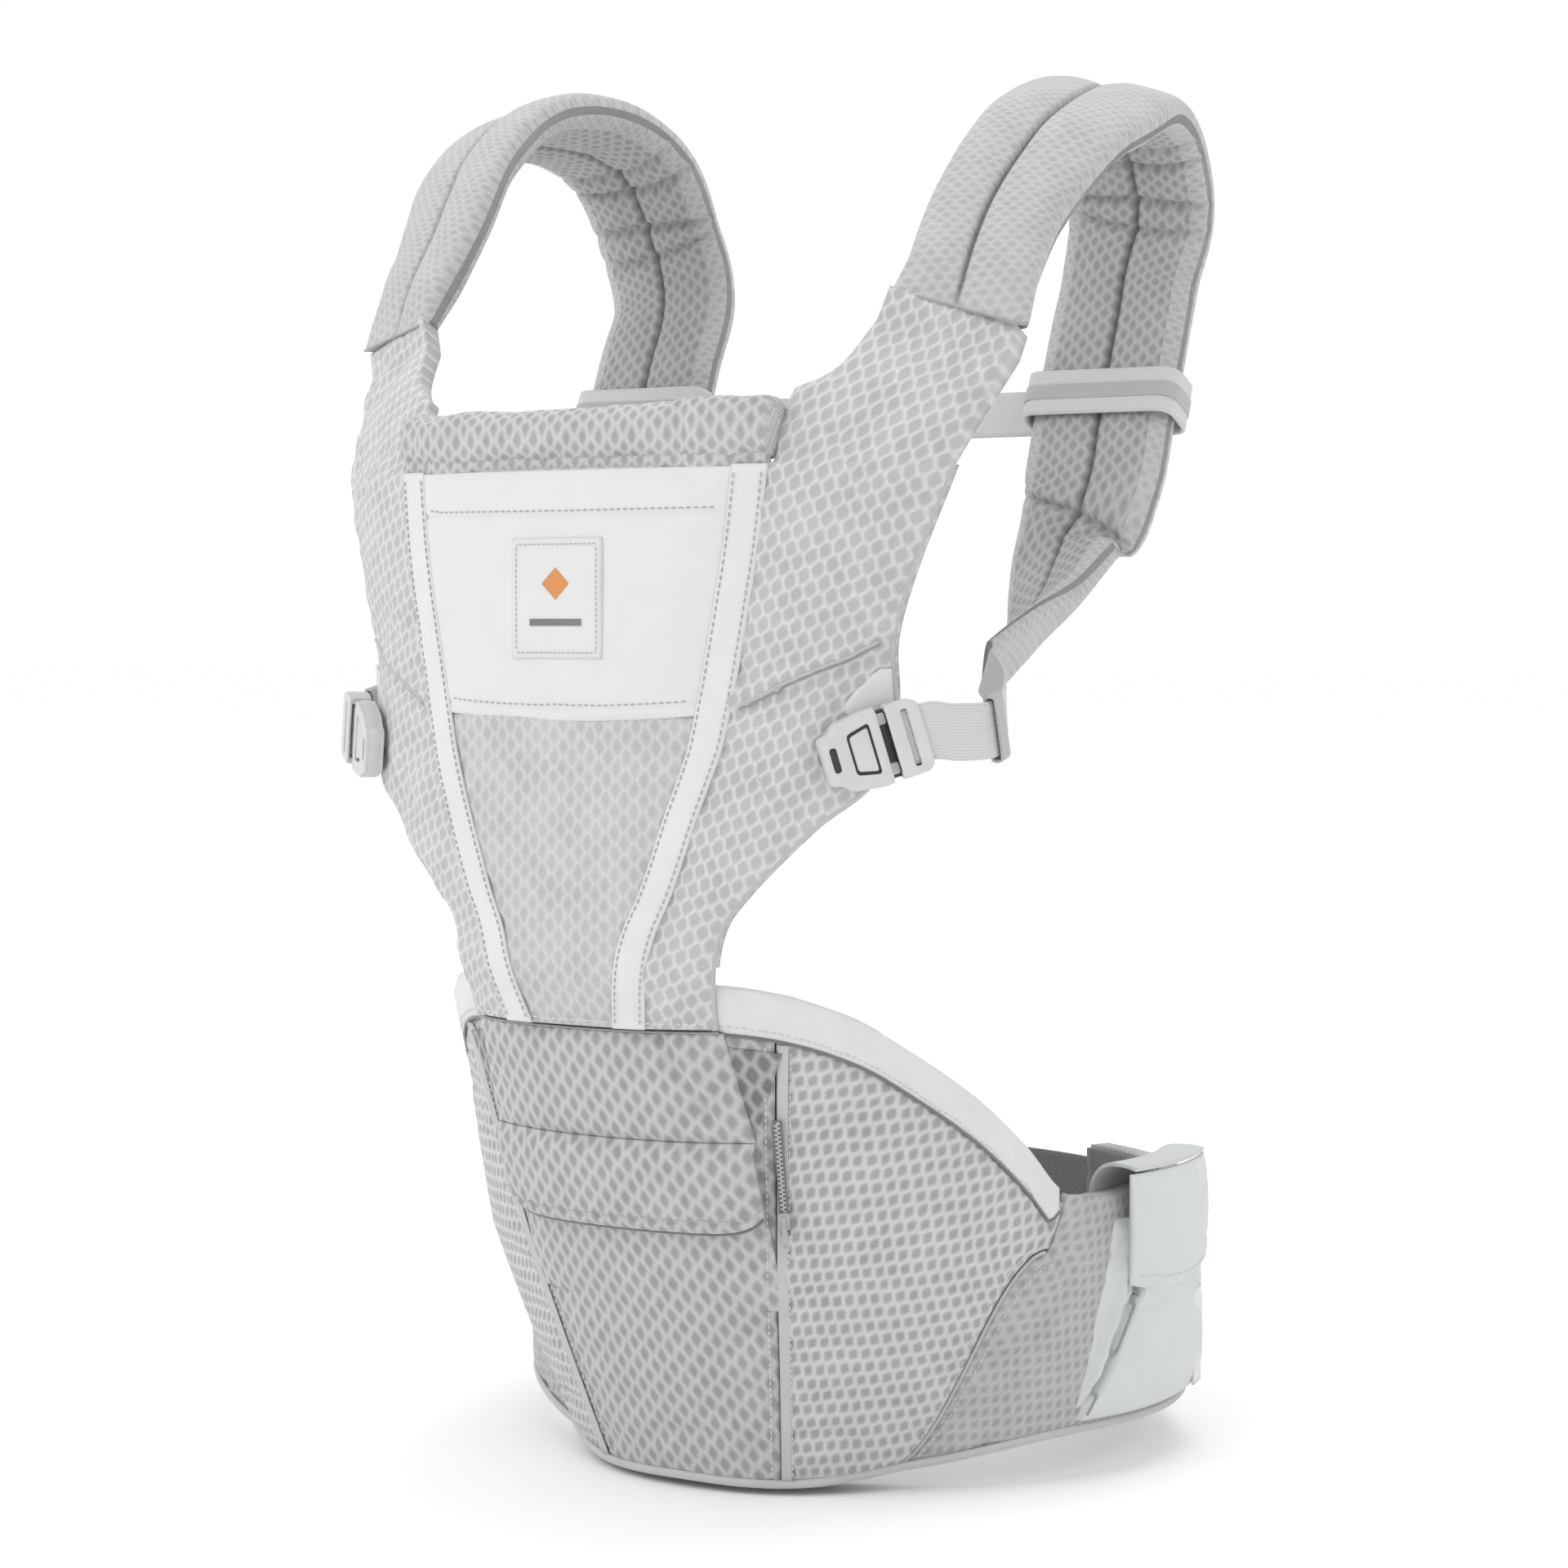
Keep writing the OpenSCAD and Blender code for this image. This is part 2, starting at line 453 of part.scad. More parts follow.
module back_web_left() color(web_grey) at_back() translate([-sleeve_face, back_y - web_t / 2, -web_w / 2])
    cube([sleeve_face - 8 - socket_l - 0.4, web_t, web_w]);

// ---- waist webbing behind the wearer --------------------------------------------------------------
waist_y = belt_half_d + 8;
waist_z = 80;
module at_waist() translate([-8, waist_y, waist_z]) rotate([-90, 0, 0]) children();
module waist_buckle_socket() color(web_grey) at_waist() socket(waist_web_w);
module waist_buckle_plug() color(web_grey) at_waist() plug(waist_web_w);
waist_end_t = 142;
module waist_web_right() {
    y = waist_y + web_level;
    route = [[-5, y, waist_z], [22, y, waist_z], [40, y, waist_z], for (t = [162, 156, 149, waist_end_t])
        on_ring(t, waist_z, 2)];
    color(web_grey) strip([for (t = steps(0, len(route) - 1, 18)) along(route, t)],
        function (u) [0, 0, 1], waist_web_w, web_t);
}
module waist_web_left() {
    x = 8 + socket_l + 0.6;
    route = [[-x, waist_y, waist_z], [-x - 8, waist_y - 0.5, waist_z],
        for (t = [-158, -152, -147, -waist_end_t]) on_ring(t, waist_z, 2)];
    color(web_grey) strip([for (t = steps(0, len(route) - 1, 15)) along(route, t)],
        function (u) [0, 0, 1], waist_web_w, web_t);
}

seat_core();
seat_top();
seat_rim();
front_cover();
side_cover_left();
side_cover_right();
belt_pad_left();
belt_pad_right();
belt_lining();
bottom_binding();
side_pouch();
pouch_flap();
flap_root();
pouch_label();
closure_hook();
closure_loop();
waist_web_left();
waist_web_right();
waist_buckle_socket();
waist_buckle_plug();
apron();
flap_pocket();
pocket_flap();
zip_tape();
zip_slider();
panel_liner();
panel_center();
panel_wing_left();
panel_wing_right();
edge_tape_left();
edge_tape_right();
pocket_panel();
pocket_hem();
front_label();
neck_roll();
shoulder_strap_left();
shoulder_strap_right();
strap_web_left();
strap_web_right();
web_keeper_left();
web_keeper_right();
buckle_tab_left();
buckle_tab_right();
side_socket_left();
side_socket_right();
side_plug_left();
side_plug_right();
back_sleeve_left();
back_sleeve_right();
back_web_left();
back_web_right();
back_buckle_socket();
back_buckle_plug();
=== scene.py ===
from math import acos, asin, atan, cos, degrees, exp, floor, pi, radians, sin
import bmesh
import bpy
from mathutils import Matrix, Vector, noise
from mathutils.bvhtree import BVHTree


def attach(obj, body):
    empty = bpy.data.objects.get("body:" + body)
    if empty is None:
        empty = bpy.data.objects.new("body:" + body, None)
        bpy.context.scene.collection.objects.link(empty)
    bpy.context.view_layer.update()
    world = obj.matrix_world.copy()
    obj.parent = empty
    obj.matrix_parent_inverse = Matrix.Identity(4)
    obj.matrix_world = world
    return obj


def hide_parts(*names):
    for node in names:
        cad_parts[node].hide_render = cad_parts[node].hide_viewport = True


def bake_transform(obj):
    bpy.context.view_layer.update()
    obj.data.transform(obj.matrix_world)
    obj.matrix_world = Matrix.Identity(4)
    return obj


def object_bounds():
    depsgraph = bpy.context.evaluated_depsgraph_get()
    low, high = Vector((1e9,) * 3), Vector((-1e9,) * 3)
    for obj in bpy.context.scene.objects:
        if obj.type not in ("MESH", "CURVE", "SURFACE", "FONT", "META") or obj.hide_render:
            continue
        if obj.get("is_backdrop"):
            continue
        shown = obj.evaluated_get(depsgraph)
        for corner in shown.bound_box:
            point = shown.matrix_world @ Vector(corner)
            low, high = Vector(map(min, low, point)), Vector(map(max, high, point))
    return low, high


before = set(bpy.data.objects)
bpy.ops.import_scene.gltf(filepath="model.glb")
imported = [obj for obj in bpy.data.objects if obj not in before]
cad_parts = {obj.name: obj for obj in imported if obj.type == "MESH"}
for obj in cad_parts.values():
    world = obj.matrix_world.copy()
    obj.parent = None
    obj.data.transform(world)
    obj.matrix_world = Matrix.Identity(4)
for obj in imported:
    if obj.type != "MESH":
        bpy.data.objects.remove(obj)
cad_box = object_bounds()
MM = 0.001

# ---- camera --------------------------------------------------------------------------------------
# Angle and height of the eye round the carrier, its distance and the point it looks at, in mm
eye_azimuth = 30.0
eye_elevation = 2.8
eye_distance = 1600.0
look_at = Vector((5.2, -83.0, 325.0))


def make_camera():
    a = radians(eye_azimuth)
    e = radians(eye_elevation)
    back = Vector((sin(a) * cos(e), -cos(a) * cos(e), sin(e)))
    camera = bpy.data.objects.new("camera", bpy.data.cameras.new("camera"))
    camera.data.lens = 75
    camera.data.sensor_width = 36
    camera.data.clip_end = 50
    camera.location = (look_at + back * eye_distance) * MM
    camera.rotation_euler = back.to_track_quat("Z", "Y").to_euler()
    bpy.context.collection.objects.link(camera)
    bpy.context.scene.camera = camera


make_camera()


# ---- curves through a few chosen values, as in the part's source ---------------------------------
def mix(a, b, t):
    return a + (b - a) * t


def steps(a, b, n):
    return [mix(a, b, i / n) for i in range(n + 1)]


def clamp(x, low=0.0, high=1.0):
    return max(low, min(high, x))


def smooth(x):
    x = clamp(x)
    return x * x * (3 - 2 * x)


def signed_power(x, power):
    return abs(x) ** power * (1 if x > 0 else -1)


def curve(table, x, k=1):
    """The value in column k of a table at x, smoothly between its rows."""
    x = clamp(x, table[0][0], table[-1][0])
    i = 0
    while i < len(table) - 2 and x >= table[i + 1][0]:
        i += 1

    def slope(j):
        a = max(j - 1, 0)
        b = min(j + 1, len(table) - 1)
        return (table[b][k] - table[a][k]) / (table[b][0] - table[a][0])

    h = table[i + 1][0] - table[i][0]
    s = (x - table[i][0]) / h
    p = table[i][k]
    q = table[i + 1][k]
    return ((2 * s**3 - 3 * s**2 + 1) * p + (s**3 - 2 * s**2 + s) * h * slope(i)
            + (3 * s**2 - 2 * s**3) * q + (s**3 - s**2) * h * slope(i + 1))


def along(rows, t):
    """The row at t along a table, smoothly between its rows."""
    i = min(int(floor(t)), len(rows) - 2)
    s = t - i
    a, b, c, d = (rows[clamp(i + k, 0, len(rows) - 1)] for k in (-1, 0, 1, 2))
    return [0.5 * (2 * q + (r - p) * s + (2 * p - 5 * q + 4 * r - w) * s * s
            + (3 * q - p - 3 * r + w) * s**3) for p, q, r, w in zip(a, b, c, d)]


# ---- the carrier's surfaces, in mm ----------------------------------------------------------------
belt_half_w = 172
belt_half_d = 146
belt_pad = 13
seat_foot_out = 22
seat_flare = 0.384
rim_h = 22
side_swell = 7
rim_line = [[0, 246], [20, 245], [30, 240], [38, 228], [44, 211], [51, 187], [57, 161], [62, 137],
            [70, 131], [90, 132], [120, 128], [180, 125]]
foot_line = [[0, 0], [20, 0], [35, 7], [60, 18], [90, 19], [180, 20]]
belly_line = [[0, 181], [25, 174], [45, 152], [57, 137], [66, 130]]


def rim_z(t):
    return curve(rim_line, min(abs(t), 360 - abs(t)))


def foot_z(t):
    return curve(foot_line, min(abs(t), 360 - abs(t)))


def seat_shape(t, z):
    q = abs(t) / min(66, 30 + z * 0.33)
    return cos(radians(90 * q**1.5)) if q < 1 else 0


def swell(t, z):
    q = (abs(t) - 25) / 55
    return side_swell * max(z, 0) / 230 * sin(pi * q) ** 2 if 0 < q < 1 else 0


def on_belt(t, z, out=0):
    a = radians(t)
    stand = (seat_foot_out + seat_flare * z) * seat_shape(t, z)
    return Vector(((belt_half_w + out + swell(t, z)) * sin(a), -(belt_half_d + out) * cos(a) - stand, z))


def on_ring(t, z, out=0):
    a = radians(t)
    return Vector(((belt_half_w + out) * sin(a), -(belt_half_d + out) * cos(a), z))


def rim_band(t):
    return rim_h * clamp((63 - abs(t)) / 3)


def front_seam(v):
    return 15.8 + 15 * v - 2.4 * v * v


def slant_seam(v):
    return 30.5 + 32 * v**0.6


panel_line = [[225, 64, -246, -262], [251, 67, -254, -271], [271, 72, -254, -271],
              [285, 83, -253, -270], [301, 98, -249, -269], [316, 112, -241, -269],
              [331, 129, -231, -268], [351, 137, -221, -267], [371, 138, -219, -267],
              [396, 139, -222, -267], [426, 147, -220, -267], [476, 163, -209, -266],
              [516, 172, -197, -264], [544, 176, -184, -262]]
tape_line = [[225, 29], [248, 34], [268, 39], [286, 47], [317, 58], [346, 68], [364, 72], [401, 79],
             [436, 85], [482, 90]]
panel_foot = 225
panel_top = 472
tape_w = 15
wing_top = 551
wing_slant = 16
wing_in = [[472, 96.6], [505, 97], [510, 106], [517, 113], [534, 120], [551, 126]]
wing_out = [[472, 161.7], [500, 166.8], [516, 169.8], [551, 175.2]]


def panel_half(z):
    return curve(panel_line, z, 1)


def tape_x(z):
    return curve(tape_line, z)


def on_panel(x, z, out=0):
    u = x / panel_half(z)
    y = mix(curve(panel_line, z, 3), curve(panel_line, z, 2), abs(u) ** 3)
    return Vector((x, y - out, z))


def on_wing(s, z, out=0, deep=0):
    """The wing's surface at share s of its width; deep is how much thicker it is at its top."""
    if z < panel_top:
        return on_panel(mix(tape_x(z) + 0.3, panel_half(z), s), z, out)
    x = mix(curve(wing_in, z), curve(wing_out, z), s)
    rise = (z - panel_top) / (wing_top - panel_top)
    foot = on_panel(x * panel_half(panel_top) / curve(wing_out, z), panel_top, out)[1]
    y = mix(foot, -190 + (x - 150) * 0.49 - out, min(1, (z - panel_top) / 64))
    return Vector((x, y + deep * rise, z - wing_slant * s * rise + 0.6 * -deep * rise))


front_right = [[152, -182, 543, 58, 26], [153, -150, 585, 62, 20], [160, -116, 620, 68, 18],
               [160, -75, 639, 73, 15], [153, -29, 649, 75, 10], [146, 10, 637, 76, 4],
               [141, 35, 608, 75, 0]]
front_left = [[152, -182, 543, 58, 26], [147, -155, 586, 62, 20], [153, -121, 626, 68, 18],
              [155, -79, 653, 73, 15], [148, -30, 658, 75, 10], [143, 11, 643, 76, 4],
              [141, 35, 610, 75, 0]]
strap_back = [[134, 38, 574, 74, 0], [134, 23, 538, 74, 0], [134, 8, 502, 74, 0], [134, -7, 466, 72, 0],
              [125, -13, 438, 62, 10], [131, -50, 409, 50, 34], [138, -95, 394, 37, 60],
              [143, -137, 383, 27, 78]]
line_right = front_right + strap_back
line_left = front_left + strap_back
strap_n = len(line_right) - 1
strap_t = 22
strap_thin = [[0, 0.72], [1, 1], [10, 1], [12, 0.8], [13, 0.5], [14, 0.22]]


def strap_at(line, t):
    return Vector(along(line, t)[:3])


def strap_dir(line, t):
    return (strap_at(line, min(t + 0.05, strap_n)) - strap_at(line, max(t - 0.05, 0))).normalized()


def strap_frame(line, t):
    d = strap_dir(line, t)
    roll = radians(along(line, t)[4])
    x = (Vector((1, 0, 0)) - d * d.x).normalized()
    n = d.cross(x)
    side = x * cos(roll) + n * sin(roll)
    return strap_at(line, t), side, d.cross(side)


# ---- materials ------------------------------------------------------------------------------------
class Nodes:
    """A material's node tree, built by short calls."""

    def __init__(self, name, roughness=0.85, sheen=0.0, specular=0.3):
        self.material = bpy.data.materials.new(name)
        self.material.use_nodes = True
        self.tree = self.material.node_tree
        self.shader = self.tree.nodes["Principled BSDF"]
        self.shader.inputs["Roughness"].default_value = roughness
        self.shader.inputs["Sheen Weight"].default_value = sheen
        self.shader.inputs["Sheen Roughness"].default_value = 0.5
        self.shader.inputs["Specular IOR Level"].default_value = specular

    def add(self, kind, **values):
        node = self.tree.nodes.new(kind)
        for key, value in values.items():
            if hasattr(node, key):
                setattr(node, key, value)
            else:
                node.inputs[key.replace("_", " ")].default_value = value
        return node

    def link(self, a, b):
        self.tree.links.new(a, b)

    def maths(self, operation, a, b=None, c=None):
        node = self.tree.nodes.new("ShaderNodeMath")
        node.operation = operation
        for socket, value in zip(node.inputs, (a, b, c)):
            if value is None:
                continue
            if isinstance(value, (int, float)):
                socket.default_value = value
            else:
                self.link(value, socket)
        return node.outputs[0]

    def coords(self, turn=0.0, scale=1.0):
        """The cloth's own coordinates in metres, turned in its plane and scaled."""
        uv = self.add("ShaderNodeUVMap", uv_map="cloth")
        place = self.add("ShaderNodeMapping")
        place.inputs["Rotation"].default_value = (0, 0, radians(turn))
        place.inputs["Scale"].default_value = (scale, scale, scale)
        self.link(uv.outputs[0], place.inputs["Vector"])
        return place.outputs[0]

    def noise(self, vector, scale, detail=2.0, roughness=0.5):
        node = self.add("ShaderNodeTexNoise", Scale=scale, Detail=detail, Roughness=roughness)
        self.link(vector, node.inputs["Vector"])
        return node.outputs["Fac"]

    def ramp(self, value, low, high, to_low=0.0, to_high=1.0):
        node = self.add("ShaderNodeMapRange", interpolation_type="SMOOTHSTEP")
        for key, number in zip(("From Min", "From Max", "To Min", "To Max"), (low, high, to_low, to_high)):
            node.inputs[key].default_value = number
        self.link(value, node.inputs["Value"])
        return node.outputs["Result"]

    def blend(self, fac, a, b):
        node = self.add("ShaderNodeMix", data_type="RGBA")
        self.link(fac, node.inputs["Factor"])
        for socket, value in ((node.inputs[6], a), (node.inputs[7], b)):
            if isinstance(value, tuple):
                socket.default_value = (*value, 1)
            else:
                self.link(value, socket)
        return node.outputs[2]

    def bump(self, height, strength, distance):
        node = self.add("ShaderNodeBump", Strength=strength, Distance=distance)
        self.link(height, node.inputs["Height"])
        last = self.shader.inputs["Normal"]
        if last.is_linked:
            self.link(last.links[0].from_socket, node.inputs["Normal"])
        self.link(node.outputs[0], last)

    def colour(self, value):
        self.link(value, self.shader.inputs["Base Color"])


def grey(value, warm=0.0):
    """A screen grey, 0 to 255, as a linear colour."""
    tint = (value + warm, value, value - warm)
    return tuple((c / 255 / 12.92 if c / 255 <= 0.04045 else ((c / 255 + 0.055) / 1.055) ** 2.4)
                 for c in tint)


def spacer_mesh(name, pitch, turn, light, dark, tall=1.0, lean=0.22, hole=0.36, soft=0.13, relief=0.6,
                jitter=0.09):
    """Open knit: light threads round recessed leaning cells, on a grid in the cloth's own plane; the cells
    are painted darker as shade in their recesses.
    """
    m = Nodes(name, roughness=0.9, sheen=0.2, specular=0.15)
    flat = m.coords()
    wobble = m.add("ShaderNodeTexNoise", Scale=150.0, Detail=2.0)
    m.link(flat, wobble.inputs["Vector"])
    shift = m.add("ShaderNodeVectorMath", operation="MULTIPLY_ADD")
    shift.inputs[1].default_value = (pitch * jitter * 2 * MM,) * 3
    m.link(wobble.outputs["Color"], shift.inputs[0])
    m.link(flat, shift.inputs[2])
    grid = m.add("ShaderNodeMapping")
    grid.inputs["Rotation"].default_value = (0, 0, radians(turn))
    grid.inputs["Scale"].default_value = (1000 / pitch, 1000 / (pitch * tall), 1)
    m.link(shift.outputs[0], grid.inputs["Vector"])
    parts = m.add("ShaderNodeSeparateXYZ")
    m.link(grid.outputs[0], parts.inputs[0])
    across, along_cell = [m.maths("SUBTRACT", m.maths("FRACT", parts.outputs[k]), 0.5) for k in (0, 1)]
    leaning = (m.maths("SUBTRACT", across, m.maths("MULTIPLY", along_cell, lean)),
               m.maths("SUBTRACT", along_cell, m.maths("MULTIPLY", across, lean)))
    away = [m.maths("POWER", m.maths("ABSOLUTE", side), 3.6) for side in leaning]
    reach = m.maths("POWER", m.maths("ADD", away[0], away[1]), 1 / 3.6)
    cell = m.ramp(reach, hole - soft, hole + soft)
    yarn = m.noise(m.coords(turn), 800.0, 4.0, 0.7)
    patch = m.noise(flat, 55.0, 4.0, 0.6)
    # The cells' darker colour is painted shade in the recessed holes, varied in random patches
    deep = m.blend(m.ramp(patch, 0.3, 0.7), dark, tuple(c * 0.85 for c in dark))
    bright = m.blend(m.ramp(patch, 0.35, 0.75), light, tuple(c * 0.93 for c in light))
    base = m.blend(cell, deep, bright)
    m.colour(m.blend(m.ramp(yarn, 0.35, 0.72, 0.0, 0.42), base, tuple(c * 0.66 for c in light)))
    m.bump(cell, 0.85, relief * MM)
    m.bump(yarn, 0.6, 0.25 * MM)
    return m.material


def smooth_cloth(name, colour, weave=0.45, shade=0.93):
    """Closely woven cloth: fine crossed threads and a slight unevenness."""
    m = Nodes(name, roughness=0.8, sheen=0.3, specular=0.25)
    flat = m.coords(scale=1000 / weave)
    parts = m.add("ShaderNodeSeparateXYZ")
    m.link(flat, parts.inputs[0])
    warp = m.maths("SINE", m.maths("MULTIPLY", parts.outputs[0], 2 * pi))
    weft = m.maths("SINE", m.maths("MULTIPLY", parts.outputs[1], 2 * pi))
    threads = m.maths("MULTIPLY", warp, weft)
    plain = m.coords()
    m.colour(m.blend(m.ramp(m.noise(plain, 45.0, 4.0), 0.3, 0.7), tuple(c * shade for c in colour), colour))
    m.bump(threads, 0.35, 0.12 * MM)
    m.bump(m.noise(plain, 70.0, 3.0), 0.3, 1.2 * MM)
    return m.material


def woven_tape(name, colour, rib=1.3):
    """Webbing: a herringbone of ribs along the tape, darker between them."""
    m = Nodes(name, roughness=0.55, sheen=0.2, specular=0.45)
    parts = m.add("ShaderNodeSeparateXYZ")
    m.link(m.coords(scale=1000 / rib), parts.inputs[0])
    slant = m.maths("PINGPONG", parts.outputs[0], 4.0)
    ribs = m.maths("SINE", m.maths("MULTIPLY", m.maths("ADD", parts.outputs[1], slant), 2 * pi))
    rows = m.maths("SINE", m.maths("MULTIPLY", parts.outputs[0], 2 * pi))
    both = m.maths("MULTIPLY", m.maths("ADD", ribs, rows), 0.5)
    m.colour(m.blend(m.ramp(both, -0.8, 0.6), tuple(c * 0.8 for c in colour), colour))
    m.bump(both, 0.5, 0.3 * MM)
    return m.material


def brushed_loops(name, colour):
    """Brushed lining: a fine fuzz, darker between its loops."""
    m = Nodes(name, roughness=0.95, sheen=0.35, specular=0.1)
    flat = m.coords()
    fuzz = m.noise(flat, 1500.0, 4.0, 0.7)
    m.colour(m.blend(m.ramp(fuzz, 0.3, 0.7), tuple(c * 0.6 for c in colour), tuple(c * 1.25 for c in colour)))
    m.bump(fuzz, 0.6, 0.5 * MM)
    return m.material


def moulded_plastic(name, colour, roughness=0.42):
    """Moulded plastic or metal: a fine grain and slightly uneven gloss."""
    m = Nodes(name, roughness=roughness, specular=0.45)
    place = m.add("ShaderNodeTexCoord").outputs["Object"]
    grain = m.noise(place, 2500.0, 2.0)
    wear = m.noise(place, 120.0, 3.0)
    m.colour(m.blend(m.ramp(wear, 0.35, 0.7), tuple(c * 0.94 for c in colour), colour))
    m.link(m.ramp(wear, 0.3, 0.7, roughness - 0.05, roughness + 0.08), m.shader.inputs["Roughness"])
    m.bump(grain, 0.15, 0.08 * MM)
    return m.material


BELT_MESH = spacer_mesh("belt_mesh", 6.1, -3, grey(199), grey(158), tall=1.08, hole=0.31, soft=0.15)
SEAT_MESH = spacer_mesh("seat_mesh", 6.9, 45, grey(189), grey(151), tall=1.1, lean=-0.22, hole=0.31,
                        soft=0.17)
PAD_MESH = spacer_mesh("pad_mesh", 5.6, -3, grey(181), grey(158), hole=0.27, soft=0.2, relief=0.3)
# Darker seat mesh: painted shade, for the patches laid beside the apron
PAINTED_SHADE_MESH = spacer_mesh("painted_shade_mesh", 6.9, 45, grey(165), grey(112), tall=1.1, lean=-0.22, relief=0.4)
WING_MESH = spacer_mesh("wing_mesh", 6.2, -23, grey(207), grey(181), hole=0.36, soft=0.15)
ROLL_MESH = spacer_mesh("roll_mesh", 6.0, 45, grey(193), grey(160), lean=-0.22, hole=0.3, soft=0.18)
CENTER_MESH = spacer_mesh("center_mesh", 6.6, 45, grey(199), grey(182), lean=-0.22, soft=0.2, relief=0.4)
STRAP_MESH = spacer_mesh("strap_mesh", 4.6, 30, grey(189), grey(174), hole=0.3, soft=0.22, relief=0.3,
                         jitter=0.2)
STRAP_INNER = spacer_mesh("strap_inner_mesh", 6.0, 45, grey(178), grey(150), lean=-0.2, hole=0.3,
                          soft=0.18)
SMOOTH = smooth_cloth("smooth_grey", grey(213), shade=0.96)
SEAM_STRIP = smooth_cloth("seam_strip", grey(186))
PALE = smooth_cloth("pale_cloth", (0.65, 0.665, 0.66), shade=0.98)
POUCH = smooth_cloth("pouch_cloth", (0.60, 0.625, 0.62), shade=0.97)
LINING = brushed_loops("dark_lining", grey(118, 1))
WEBBING = woven_tape("webbing", grey(206))
WARM_WEB = woven_tape("keeper_webbing", grey(180, 2), rib=1.0)
PLASTIC = moulded_plastic("buckle_plastic", grey(198))
# Near-black plastic: painted shadow in the buckles' slots, holes and gaps
DARK = moulded_plastic("deep_shadow_plastic", grey(52))
METAL = moulded_plastic("zip_teeth", grey(165), roughness=0.35)
THREAD = smooth_cloth("thread", grey(212), weave=0.3)
STITCH = smooth_cloth("stitch_thread", grey(168), weave=0.3)
# Dark cord: painted shadow lines under the seat rim and under the pocket flap, and the zip tape's own dark
# colour
ZIP_TAPE_AND_SHADOW_CORD = smooth_cloth("zip_tape_and_shadow_cord", grey(118), weave=0.3)
# Grey cord: seam lines, and painted shadow lines below the wing seams and in the pouch's fold
SEAM_AND_SHADOW_CORD = smooth_cloth("seam_and_shadow_cord", grey(158), weave=0.3)
MARK = smooth_cloth("mark_orange", (0.62, 0.26, 0.08), weave=0.4)
MARK_GREY = smooth_cloth("mark_grey", grey(120), weave=0.4)


# ---- mesh building --------------------------------------------------------------------------------
SIDES = (("right", False, 1), ("left", True, -1))


def sided(p, sign):
    """A point or direction given for the right side, mirrored where sign is -1."""
    return Vector((sign * p.x, p.y, p.z))


def both_ways(points, sign):
    return [sided(p, sign) for p in points]


def piece(name, points, faces, uvs, material, body, nodes=(), smooth_faces=True):
    """One visible piece from points in mm, with the cloth's own coordinates in mm."""
    mesh = bpy.data.meshes.new(name)
    mesh.from_pydata([tuple(p * MM) for p in points], [], faces)
    if uvs:
        layer = mesh.uv_layers.new(name="cloth")
        for loop in mesh.loops:
            layer.data[loop.index].uv = (uvs[loop.vertex_index][0] * MM, uvs[loop.vertex_index][1] * MM)
    mesh.materials.append(material)
    for polygon in mesh.polygons:
        polygon.use_smooth = smooth_faces
    mesh.validate()
    obj = bpy.data.objects.new(name, mesh)
    bpy.context.collection.objects.link(obj)
    if body:
        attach(obj, body)
    if nodes:
        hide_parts(*nodes)
    return obj


def ripple(p, size, seed=0.0):
    """Gentle unevenness of stuffed cloth, from -1 to 1, the same at every run."""
    return noise.noise(Vector((p.x / size + seed, p.y / size - seed, p.z / size + 2 * seed)))


def settle(rows, around=False, grow=0.03, pressure=2.0, cap=3.0, frames=20):
    """Cloth simulation of a coarse net of points in mm, held at its border: how far each point moves."""
    m, n = len(rows), len(rows[0])
    still = [[Vector((0, 0, 0)) for _ in row] for row in rows]
    points = [(p + Vector((0, 0, 0.4 * ripple(p, 11)))) * MM for row in rows for p in row]
    faces = []
    for i in range(m - 1):
        for j in range(n if around else n - 1):
            k = (j + 1) % n
            faces.append((i * n + j, i * n + k, (i + 1) * n + k, (i + 1) * n + j))
    mesh = bpy.data.meshes.new("net")
    mesh.from_pydata([tuple(p) for p in points], [], faces)
    net = bpy.data.objects.new("net", mesh)
    bpy.context.collection.objects.link(net)
    held = net.vertex_groups.new(name="held")
    held.add([i * n + j for i in range(m) for j in range(n)
              if i in (0, m - 1) or (not around and j in (0, n - 1))], 1.0, "REPLACE")
    modifier = net.modifiers.new("cloth", "CLOTH")
    settings = modifier.settings
    settings.quality = 5
    settings.mass = 0.15
    settings.use_pressure = True
    settings.uniform_pressure_force = pressure
    settings.shrink_min = -grow
    settings.tension_stiffness = 12
    settings.compression_stiffness = 12
    settings.bending_stiffness = 0.3
    settings.vertex_group_mass = "held"
    settings.effector_weights.gravity = 0
    modifier.collision_settings.use_collision = False
    modifier.point_cache.frame_start = 1
    modifier.point_cache.frame_end = frames
    for number in range(1, frames + 1):
        bpy.context.scene.frame_set(number)
    result = net.evaluated_get(bpy.context.evaluated_depsgraph_get()).to_mesh()
    moved = [v.co / MM - p / MM for v, p in zip(result.vertices, points)]
    bpy.data.objects.remove(net)
    bpy.data.meshes.remove(mesh)
    bpy.context.scene.frame_set(1)
    for i in range(m):
        for j in range(n):
            step = moved[i * n + j]
            size = step.length
            still[i][j] = step * (cap * (1 - exp(-size / cap)) / size) if size > 1e-6 else step
    return still


def read_net(moved, s, v, around=False):
    """The settled net's movement at shares s and v, smoothly between its points."""
    m, n = len(moved), len(moved[0])
    columns = n if around else n - 1
    x = clamp(s) * columns
    y = clamp(v) * (m - 1)
    j = min(int(x), columns - 1)
    i = min(int(y), m - 2)
    a = smooth(x - j)
    b = smooth(y - i)
    k = (j + 1) % n
    low = moved[i][j].lerp(moved[i][k], a)
    return low.lerp(moved[i + 1][j].lerp(moved[i + 1][k], a), b)


